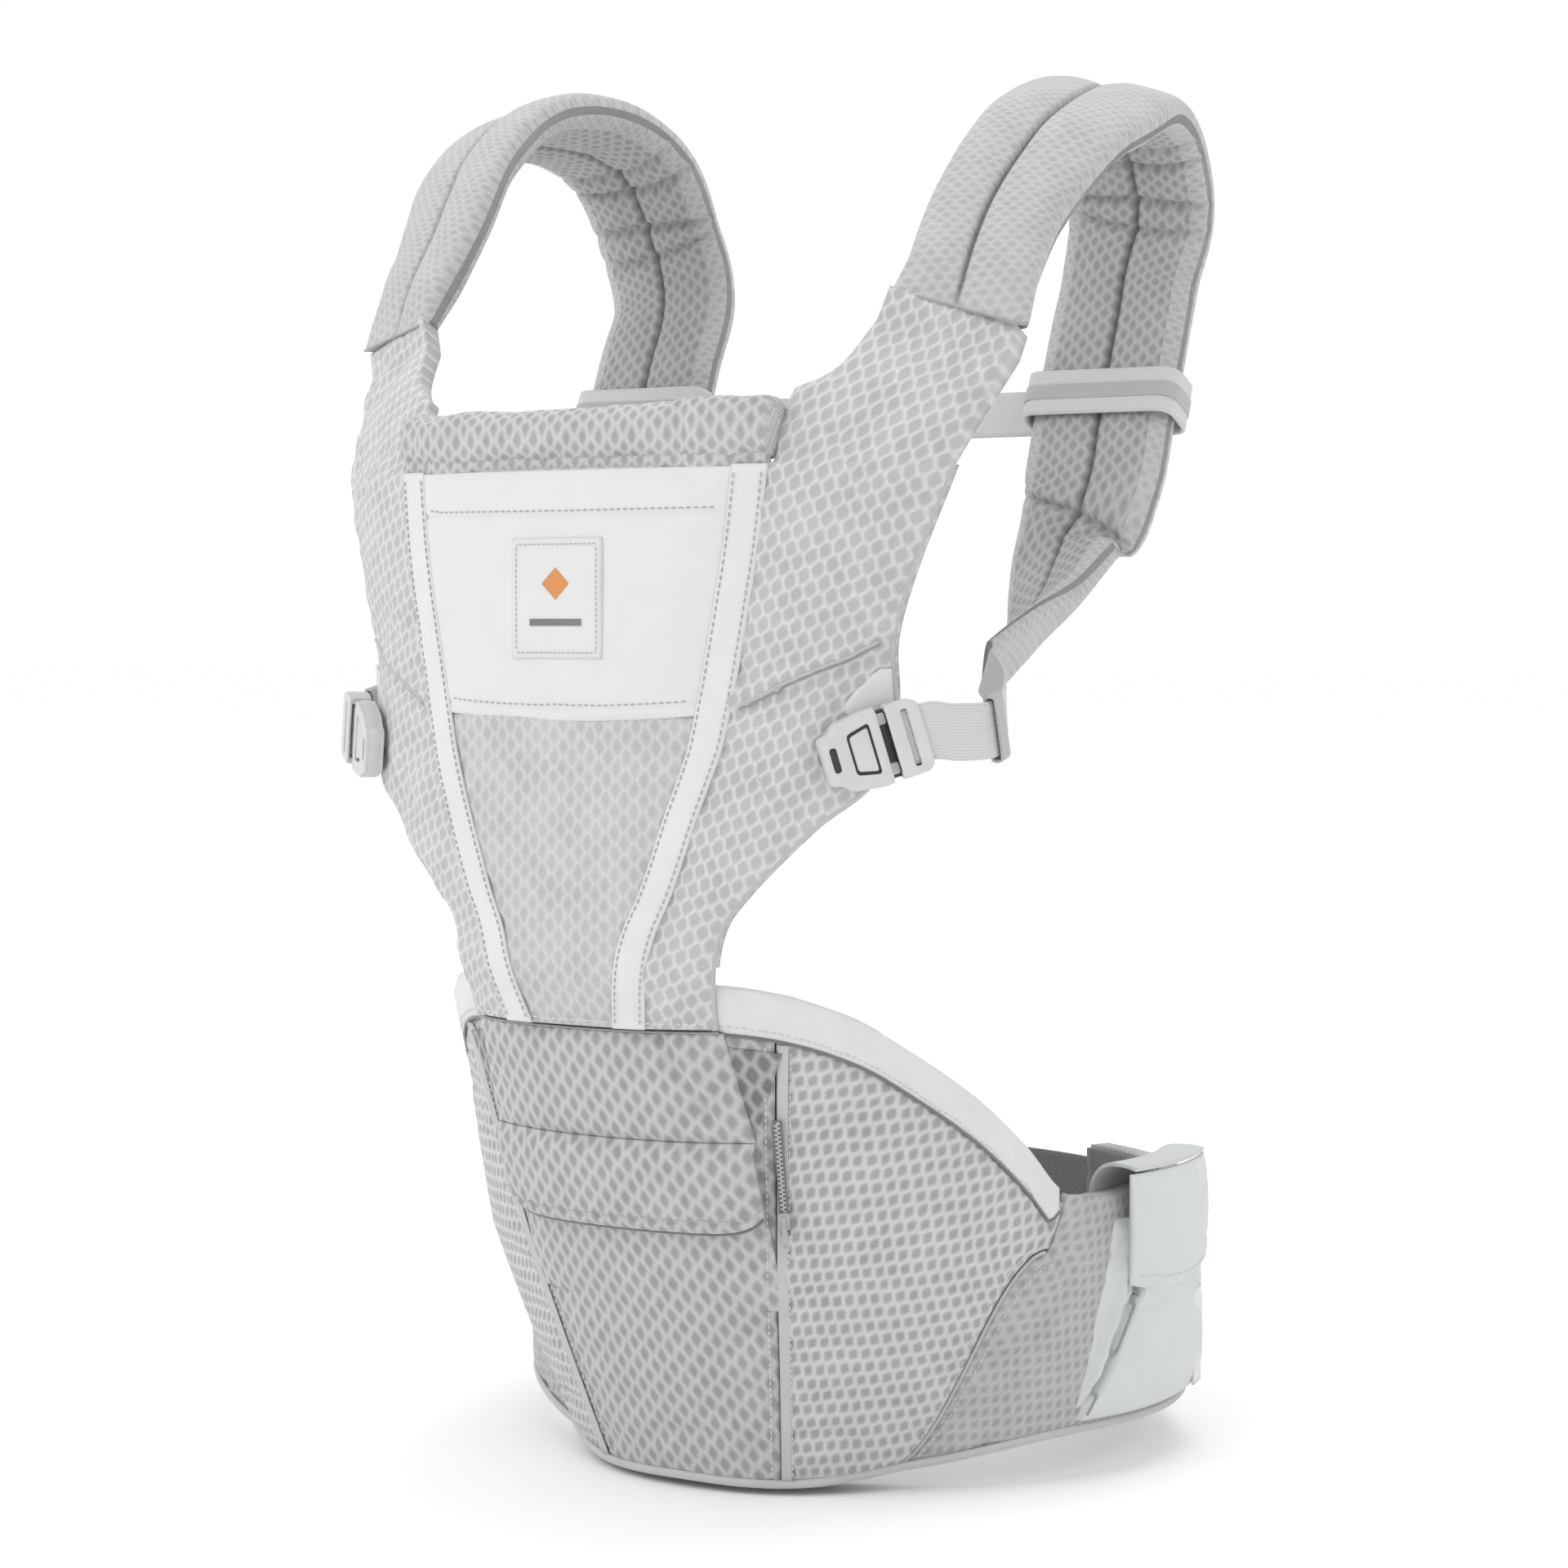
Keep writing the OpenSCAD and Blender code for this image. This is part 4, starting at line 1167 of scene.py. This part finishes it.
def even(points, radius, count=5):
    """A rounded outline from its lower half, the other half mirrored."""
    return rounded(points + [(x, -y) for x, y in reversed(points)], radius, count)


def plate(loops, low, high, bevel=0.5):
    """A flat plate between two levels: the first outline is its edge, the others are holes."""
    data = bpy.data.curves.new("plate", "CURVE")
    data.dimensions = "2D"
    data.fill_mode = "BOTH"
    data.extrude = (high - low) / 2 - bevel
    data.bevel_depth = bevel
    data.bevel_resolution = 2
    data.offset = -bevel
    for loop in loops:
        spline = data.splines.new("POLY")
        spline.points.add(len(loop) - 1)
        for point, (x, y) in zip(spline.points, loop):
            point.co = (x, y, 0, 1)
        spline.use_cyclic_u = True
    holder = bpy.data.objects.new("plate", data)
    bpy.context.collection.objects.link(holder)
    bpy.context.view_layer.update()
    mesh = bpy.data.meshes.new_from_object(holder.evaluated_get(bpy.context.evaluated_depsgraph_get()))
    points = [(v.co.x, v.co.y, v.co.z + (low + high) / 2) for v in mesh.vertices]
    faces = [tuple(p.vertices) for p in mesh.polygons]
    bpy.data.objects.remove(holder)
    bpy.data.curves.remove(data)
    bpy.data.meshes.remove(mesh)
    return points, faces


edge_angle = radians(35)


def hard(name, local, parts, body, nodes):
    """One rigid piece from plates, each with its own material, placed by local(point)."""
    points, faces, owners, materials = [], [], [], []
    for (part_points, part_faces), material in parts:
        base = len(points)
        points += [local(p) for p in part_points]
        if material not in materials:
            materials.append(material)
        for f in part_faces:
            faces.append(tuple(base + k for k in f))
            owners.append(materials.index(material))
    obj = piece(name, points, faces, None, materials[0], body, nodes)
    for material in materials[1:]:
        obj.data.materials.append(material)
    for polygon, owner in zip(obj.data.polygons, owners):
        polygon.material_index = owner
    shape = bmesh.new()
    shape.from_mesh(obj.data)
    bmesh.ops.remove_doubles(shape, verts=shape.verts, dist=0.00001)
    bmesh.ops.recalc_face_normals(shape, faces=shape.faces)
    shape.to_mesh(obj.data)
    shape.free()
    obj.data.set_sharp_from_angle(angle=edge_angle)
    return obj


socket_l = 30


def socket_parts(w):
    """Socket half of a side-release buckle: x from its closed end to its mouth, z outwards."""
    h = (w + 9) / 2
    edge = [(-socket_l + 0.5, -h + 6.5), (-24.5, -h + 5.5), (-21.5, -h + 2), (-8, -h), (-2.2, -h)]
    outline = even(edge, 3.0)
    hollow = even(edge + [(-2.2, -h + 1.6), (-19.5, -h + 1.6)], 1.2)
    window = even([(-17.5, -h + 8), (-6.5, -h + 5.5)], 2.0)
    inset = even([(-16.4, -h + 9.4), (-7.6, -h + 7.2)], 1.4)
    pill = even([(-26.4, -5.5), (-23.2, -5.5)], 1.6)
    # floor_line and under are near-black plates: painted shadow seen through the window and the pill-shaped
    # hole
    floor_line = even([(-18.8, -h + 3), (-3.2, -h + 3)], 0.8)
    under = even([(-28.5, -6.5), (-21, -6.5)], 0.6)
    return [(plate([outline], -4.4, -2.5), PLASTIC), (plate([hollow], -2.9, 2.9, 0.3), PLASTIC),
            (plate([outline, window, pill], 2.5, 4.5, 0.45), PLASTIC),
            (plate([inset], 2.9, 4.1, 0.35), PLASTIC),
            (plate([floor_line], 2.35, 2.9, 0.1), DARK), (plate([under], 2.35, 3.0, 0.1), DARK)]


def plug_parts(w):
    """Plug half: two prongs and a body whose webbing runs between its plates."""
    h = (w + 8) / 2
    base = even([(1.6, -h), (13.5, -h + 0.4), (16.4, -h + 2.6)], 2.2)
    slot_line = even([(8.0, -w / 2 - 0.2), (10.8, -w / 2 - 0.2)], 1.1)
    cheek = [rounded([(1.8, s * (w / 2 + 0.8)), (14.4, s * (w / 2 + 0.8)), (13.4, s * (h - 0.3)),
                      (1.8, s * (h - 0.1))], 0.6) for s in (-1, 1)]
    # The neck is a near-black plate: painted shadow in the gap between the prongs
    neck = even([(-2.0, -h + 1.4), (2.2, -h + 1.4)], 0.4)
    prong = [rounded([(-15.4, s * (w / 2 - 2.2)), (-14.2, s * (w / 2 + 0.2)), (-9, s * (w / 2 + 1.3)),
                      (1.8, s * (w / 2 + 1.2)), (1.8, s * (w / 2 - 4.0)), (-11, s * (w / 2 - 4.0))], 1.2)
             for s in (-1, 1)]
    parts = [(plate([base], -4.3, 1.2), PLASTIC), (plate([base, slot_line], 4.9, 6.2, 0.4), PLASTIC),
             (plate([neck], -2.0, 1.6, 0.3), DARK)]
    parts += [(plate([line], 0.9, 5.2, 0.2), PLASTIC) for line in cheek]
    parts += [(plate([line], -1.9, 1.9, 0.5), PLASTIC) for line in prong]
    return parts


# Where the buckles lie: the middle of each mating face, and its directions
side_at = Vector((141, -229, 352))
side_turn = radians(41)
side_tilt = radians(17)
side_axis = Vector((cos(side_tilt) * cos(side_turn), cos(side_tilt) * sin(side_turn), sin(side_tilt)))
side_across = Vector((-sin(side_tilt) * cos(side_turn), -sin(side_tilt) * sin(side_turn), cos(side_tilt)))
side_out = Vector((sin(side_turn), -cos(side_turn), 0))
back_lean = atan(15 / 36)
back_at = Vector((0, 12.2, 512))
back_up = Vector((0, sin(back_lean), cos(back_lean)))
back_out = Vector((0, cos(back_lean), -sin(back_lean)))
back_y = 6
back_shift = -8
waist_at = Vector((-8, belt_half_d + 8, 80))
# Webbing: its level above a buckle's middle, its widths and its thickness
web_level = 3.1
web_w = 25
waist_w = 38
web_t = 1.6


def make_buckle(name, local, w, socket_body, plug_body, node):
    """Both halves of a buckle: %s in the names stands for socket or plug."""
    hard(name % "socket", local, socket_parts(w), socket_body, (node % "socket",))
    hard(name % "plug", local, plug_parts(w), plug_body, (node % "plug",))


def make_buckles():
    for label, flip, sign in SIDES:

        def at_side(p):
            return sided(side_at + side_axis * p[0] + side_across * p[1] + side_out * p[2], sign)

        make_buckle("side_buckle_%s_" + label, at_side, web_w, "carrier", "side_plug_" + label,
                    "side_%s_" + label)

    def at_back(p):
        return back_at + Vector((p[0] + back_shift, 0, 0)) - back_up * p[1] + back_out * (back_y + p[2])

    make_buckle("back_buckle_%s_body", at_back, web_w, "back_strap", "back_plug", "back_buckle_%s")

    def at_waist(p):
        return waist_at + Vector((p[0], p[2], -p[1]))

    make_buckle("waist_buckle_%s_body", at_waist, waist_w, "carrier", "waist_plug", "waist_buckle_%s")


make_apron()
make_painted_shade()
make_zip()
make_buckles()


# ---- shoulder straps ------------------------------------------------------------------------------
def face_shares(groove):
    """Places across a strap's face, closer together at its groove."""
    near = [groove + k for k in (-0.13, -0.085, -0.05, -0.025, 0, 0.025, 0.05, 0.085, 0.13)]
    edges = [0.985, 0.95, 0.88, 0.78, 0.66, 0.54, 0.42, 0.3, 0.2]
    far = [x for x in edges + [-x for x in edges] if abs(x - groove) > 0.15]
    return sorted(near + far)


inner_groove = 0.02
outer_groove = -0.1
inner_shares = face_shares(inner_groove)
outer_shares = face_shares(outer_groove)
# Creases across the inner face: place along the strap, bow, depth
strap_creases = ((4.75, -0.15, 0.35), (5.15, -0.12, 0.5), (5.75, 0.08, 0.5), (6.25, -0.14, 0.35),
                 (10.35, 0.15, 0.5))


def strap_section(t):
    """Points round the strap as (share across, share of half thickness): inner face, then outer."""
    power = mix(6.5, 2.9, smooth(t / 1.1))
    taper = clamp((t - 11.5) / 2)
    points = [(-1.0, 0.0)]
    for face, shares, groove in ((1, inner_shares, inner_groove), (-1, outer_shares[::-1], outer_groove)):
        if face > 0:
            depth = 0.6 * smooth((t - 1.5) / 2) * (1 - taper)
        else:
            depth = 0.72 * smooth((t + 0.12) / 0.3) * (1 - smooth((t - 10.5) / 1.5))
        for x in shares:
            y = (1 - abs(x) ** power) ** 0.31
            y *= 1 - depth * bell(x - groove, 0.03) - 0.28 * depth * bell(x - groove, 0.22)
            if face > 0:
                for at, bow, cut in strap_creases:
                    y *= 1 - cut * bell(t - at - bow * x * x, 0.06)
            points.append((x, y * face))
        if face > 0:
            points.append((1.0, 0.0))
    return points


# How far the strap's outer face hangs over at its foot, and how much wider it is there
foot_drop = 7.2
foot_widening = 0.07
# Points round the net that settles into the strap's surface
strap_net = 28


def strap_thickness(t):
    return strap_t / 2 * curve(strap_thin, t)


def make_straps():
    for label, flip, sign in SIDES:
        line = line_left if flip else line_right
        coarse = []
        for t in steps(0, strap_n, 110):
            centre, side, inner = strap_frame(line, t)
            half = along(line, t)[3] / 2
            thick = strap_thickness(t) * 0.95
            turns = [2 * pi * k / strap_net for k in range(strap_net)]
            coarse.append([centre + side * signed_power(cos(a), 0.7) * half
                           + inner * signed_power(sin(a), 0.62) * thick for a in turns])
        moved = settle(coarse, around=True, grow=0.015, pressure=1.5, cap=1.5)
        rings, uvs = [], []
        run = 0.0
        last = None
        first = strap_section(0)
        inside = [y > 0 and abs(x) < 0.8 for x, y in first]
        for t in steps(0, strap_n, 400):
            centre, side, inner = strap_frame(line, t)
            foot = 1 - smooth(t / 0.5)
            half = along(line, t)[3] / 2 * (1 + foot_widening * foot)
            thick = strap_thickness(t)
            if last is not None:
                run += (centre - last).length
            last = centre
            taper = clamp((t - 11.5) / 2)
            calm = smooth((abs(t - 8.6) - 1.0) / 0.6) * (1 - taper) * smooth(t / 0.6)
            ring, flat = [], []
            for x, y in strap_section(t):
                p = centre + side * x * half * 0.99 + inner * y * thick * 0.97
                p.z -= foot_drop * max(0, -y) * foot
                p += inner * y * 0.8 * ripple(p, 22, 5.0) * (1 - taper)
                turn = (acos(x) if y >= 0 else 2 * pi - acos(x)) / (2 * pi)
                p += read_net(moved, turn, t / strap_n, around=True) * calm
                ring.append(sided(p, sign))
                flat.append((x * half + (200 if y > 0 else 0), run))
            rings.append(ring[::-1] if flip else ring)
            uvs.extend(flat[::-1] if flip else flat)
        strap = tube("shoulder_strap_pad_" + label, rings, uvs, STRAP_MESH,
                     nodes=("shoulder_strap_" + label,))
        strap.data.materials.append(STRAP_INNER)
        count = len(first)
        order = inside[::-1] if flip else inside
        for number, polygon in enumerate(strap.data.polygons):
            k = number % count
            polygon.material_index = 1 if order[k] and order[(k + 1) % count] else 0
        for edge, shift in (("inner", -0.045), ("outer", 0.045)):
            row = []
            for t in steps(0.5, 10.4, 200):
                centre, side, inner = strap_frame(line, t)
                half = along(line, t)[3] / 2
                p = centre + side * (half * (outer_groove + shift)) - inner * (strap_t / 2 * 0.66)
                row.append(sided(p, sign))
            stitches("strap_stitch_%s_%s" % (edge, label), row, lambda k: Vector((0, -0.6, 0.8)), "carrier",
                     material=STITCH)
        seam = []
        for share in steps(-0.97, 0.97, 30):
            centre, side, inner = strap_frame(line, 0.03)
            half = along(line, 0.03)[3] / 2
            y = (1 - abs(share) ** 6.5) ** 0.31
            p = centre + side * share * half * 1.06 - inner * (strap_thickness(0) * y)
            p.z -= foot_drop * y
            seam.append(sided(p, sign))
        cord_line("strap_seam_" + label, seam, 0.55, SEAM_AND_SHADOW_CORD)


make_straps()


# ---- side webbing, its keeper and the strap across the back ---------------------------------------
def make_side_webbing():
    tip = strap_at(line_right, strap_n) + strap_dir(line_right, strap_n) * 3
    end_side = strap_frame(line_right, strap_n)[1]
    lift = side_out * web_level
    keeper_at = Vector((169, -180, 358))
    route = [side_at + side_axis * 3 + lift, side_at + side_axis * 19 + lift, Vector((163, -204, 356.5)),
             keeper_at, Vector((159, -152, 368)), tip]
    count = 90

    def turned(share):
        """The webbing's width direction: the buckle's at first, the strap's at its end."""
        return side_across.lerp(end_side, clamp((share - 0.3) / 0.7))

    for label, flip, sign in SIDES:

        def across(i):
            return sided(turned(i / count), sign)

        path = [sided(Vector(along(route, t)), sign) for t in steps(0, len(route) - 1, count)]
        web = tape("side_webbing_" + label, path, across, web_w, web_t, WEBBING, body=None,
                   nodes=("strap_web_" + label,))
        start = sided(route[1], sign) * MM
        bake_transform(web)
        run = (Vector(route[4]) - Vector(route[2])).normalized()
        a = turned(route.index(keeper_at) / (len(route) - 1))
        side = (a - run * a.dot(run)).normalized()
        up = run.cross(side)
        ring = [sided(keeper_at + side * x + up * y, sign)
                for x, y in even([(-web_w / 2 - 2, -2.5), (web_w / 2 + 2, -2.5)], 2.2, 6)]
        way = sided(run, sign)
        tape("webbing_keeper_" + label, ring, lambda i: way, 9.0, 1.3, WARM_WEB,
             nodes=("web_keeper_" + label,), closed=True)


sleeve_x = 134
sleeve_half_w = 38.4
sleeve_half_d = 12.4
band_t = 2.2


def sleeve_ring(sign, grow, radius):
    """Points round a sleeve of the back strap, grow mm outside its inner face."""
    w = sleeve_half_w + grow
    d = sleeve_half_d + grow
    return [back_at + Vector((sign * (sleeve_x + x), 0, 0)) + back_out * y
            for x, y in even([(-w, -d), (w, -d)], radius, 8)]


def make_back_strap():
    for label, flip, sign in SIDES:
        tape("back_sleeve_band_" + label, sleeve_ring(sign, 1.1, 8.5), lambda i: back_up, 24, band_t,
             WEBBING, "back_strap", ("back_sleeve_" + label,), closed=True)
        tape("back_sleeve_stripe_" + label, sleeve_ring(sign, 2.3, 9.5), lambda i: back_up, 8, 0.5,
             WARM_WEB, "back_strap", closed=True)
    face = sleeve_x - sleeve_half_w - band_t - 0.1
    right = [back_at + Vector((x, 0, 0)) + back_out * (back_y + web_level) for x in steps(-5, face, 40)]
    tape("back_webbing_right", right, lambda i: back_up, web_w, web_t, WEBBING, "back_strap",
         ("back_web_right",))
    back_start = back_shift - socket_l - 0.4
    left = [back_at + Vector((x, 0, 0)) + back_out * back_y for x in steps(back_start, -face, 40)]
    tape("back_webbing_left", left, lambda i: back_up, web_w, web_t, WEBBING, "back_strap",
         ("back_web_left",))


make_side_webbing()
make_back_strap()


# ---- pouch on the wearer's left side of the belt --------------------------------------------------
flap_hinge_t = 88
flap_span = 15


def make_pouch():
    def pouch(s, v, off):
        t = mix(63 + 9 * v, 112, s)
        return on_ring(t, mix(25, 119, v), off)

    def gusset(s, v):
        line = 0.015 + 0.17 * clamp(v / 0.62)
        fold = line * 0.5
        depth = -4.2 * bell(s - line + 0.012, 0.013) - 2.6 * smooth((line - s) / 0.04)
        return depth + 1.2 * bell(s - line - 0.012, 0.012) + 3.4 * bell(s - fold, 0.022) * smooth(v / 0.2)

    bag = cloth("side_pouch_cloth", pouch, 200, 70, 7.6, 1.4, POUCH, nodes=("side_pouch",),
                puff=1.6, edge=3.2, wrinkle=1.1, size=28, power=8, shape=gusset,
                uv=lambda s, v: (s * 140, v * 94), net=(34, 22, 0.025, 1.6, 1.6))

    def flap(s, v, off):
        q = 2 * s - 1
        t = flap_hinge_t + flap_span * q
        bulge = 1.6 * sin(pi * clamp(v)) if off > 10 else 0
        return on_ring(t, 141 - (59 - 6 * q * q) * (1 - v), off + bulge)

    lid = cloth("pouch_flap_cloth", flap, 60, 50, 12.0, 9.8, POUCH, "pouch_flap", ("pouch_flap",),
                puff=0.7, edge=1.2, wrinkle=0.7, size=22,
                uv=lambda s, v: (s * 84, v * 59), net=(20, 14, 0.02, 1.0, 1.2))
    # The flap's root in section, as offset and height: over its top, and along its underside
    over = [[-17.8, 118], [-17.4, 134], [-9, 143.6], [3, 145], [11.4, 143.8]]
    under = [[-16.4, 118], [-15.9, 133.4], [-8.6, 141.9], [3, 143.3], [11, 142.2]]
    section = [along(over, k) for k in steps(0, len(over) - 1, 20)]
    section += [along(under, k) for k in steps(len(under) - 1, 0, 20)]
    rings, uvs = [], []
    for t in steps(flap_hinge_t - flap_span + 1, flap_hinge_t + flap_span - 1, 40):
        rings.append([on_ring(t, z, off) for off, z in section])
        uvs.extend([(t * 3, k * 2.5) for k in range(len(section))])
    root = tube("flap_root_cloth", rings, uvs, POUCH, nodes=("flap_root",))
    row = [flap(s, 0.1, 13.4) for s in steps(0.05, 0.95, 40)]
    sewn("pouch_flap_stitch", laid(row, lid, 0.1), "pouch_flap")
    # A grey cord down the fold's valley: painted shade in the fold
    valley = [pouch(0.003 + 0.17 * clamp(v / 0.62), v, 5.6) for v in steps(0.04, 0.66, 60)]
    cord_line("pouch_fold_shadow_cord", laid(valley, bag, -0.1), 0.7, SEAM_AND_SHADOW_CORD)

    def tag(s, v, off):
        return on_ring(mix(96, 102, s), mix(28, 76, v), off)

    cloth("pouch_label_cloth", tag, 8, 20, 10.6, 9.4, PALE, nodes=("pouch_label",),
          puff=0.2, edge=0.3)


def make_closure():
    def hook(s, v, off):
        return on_ring(mix(-belt_end - 0.4, -194, s), mix(42, 116, v), off)

    def loop(s, v, off):
        return on_ring(mix(belt_end + 0.4, 188, s), mix(40, 118, v), off)

    cloth("closure_hook_tab", hook, 60, 30, -3.2, -6.2, LINING, nodes=("closure_hook",),
          puff=0.4, wrinkle=0.5, size=24, uv=lambda s, v: (s * 120, v * 74), flip=False)
    cloth("closure_loop_tab", loop, 60, 30, -7.7, -10.7, LINING, nodes=("closure_loop",),
          puff=0.4, wrinkle=0.5, size=24, uv=lambda s, v: (s * 110, v * 78))


def make_waist_webbing():
    y, z = waist_at.yz
    right = [Vector((x, y + web_level, z)) for x in (-5, 22, 40)]
    right += [on_ring(t, z, 2) for t in (162, 156, 149, 142)]
    edge = waist_at.x - socket_l - 0.6
    left = [Vector((edge, y, z)), Vector((edge - 8, y - 0.5, z))]
    left += [on_ring(t, z, 2) for t in (-158, -152, -147, -142)]
    for label, route in (("right", right), ("left", left)):
        path = [Vector(along(route, t)) for t in steps(0, len(route) - 1, 70)]
        tape("waist_webbing_" + label, path, lambda i: Vector((0, 0, 1)), waist_w, web_t, WEBBING,
             nodes=("waist_web_" + label,))


make_pouch()
make_closure()
make_waist_webbing()


# ---- floor and light ------------------------------------------------------------------------------
floor_white = (0.995, 0.995, 0.995, 1)
# Lamps: name, place and size in metres, power in watts
lamps = (("key", (-1.3, -2.1, 1.9), 1.4, 20), ("fill", (2.0, -1.4, 0.8), 1.8, 3),
         ("top", (0.3, 0.5, 2.3), 1.2, 9))
lamp_target = Vector((0, -0.08, 0.35))


def make_studio():
    floor_z = cad_box[0][2] - 0.004
    reach = 30
    corners = ((-reach, -reach), (reach, -reach), (reach, reach), (-reach, reach))
    mesh = bpy.data.meshes.new("floor")
    mesh.from_pydata([(x, y, floor_z) for x, y in corners], [], [(0, 1, 2, 3)])
    floor = bpy.data.objects.new("floor", mesh)
    bpy.context.collection.objects.link(floor)
    paint = bpy.data.materials.new("floor_paint")
    paint.use_nodes = True
    shader = paint.node_tree.nodes["Principled BSDF"]
    shader.inputs["Base Color"].default_value = floor_white
    shader.inputs["Roughness"].default_value = 1.0
    shader.inputs["Specular IOR Level"].default_value = 0.0
    mesh.materials.append(paint)
    floor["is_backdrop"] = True
    world = bpy.data.worlds.new("studio")
    world.use_nodes = True
    world.node_tree.nodes["Background"].inputs["Color"].default_value = (1, 1, 1, 1)
    world.node_tree.nodes["Background"].inputs["Strength"].default_value = 1.0
    bpy.context.scene.world = world
    for name, place, size, power in lamps:
        lamp = bpy.data.objects.new(name, bpy.data.lights.new(name, "AREA"))
        lamp.data.size = size
        lamp.data.energy = power
        lamp.location = place
        aim = lamp_target - Vector(place)
        lamp.rotation_euler = aim.to_track_quat("-Z", "Y").to_euler()
        bpy.context.collection.objects.link(lamp)
    bpy.context.scene.view_settings.view_transform = "Standard"


make_studio()


# ---- sizes, for comparison ------------------------------------------------------------------------
def plain(box):
    return [[float(x) for x in corner] for corner in box]


{"cad": plain(cad_box), "visual": plain(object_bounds())}
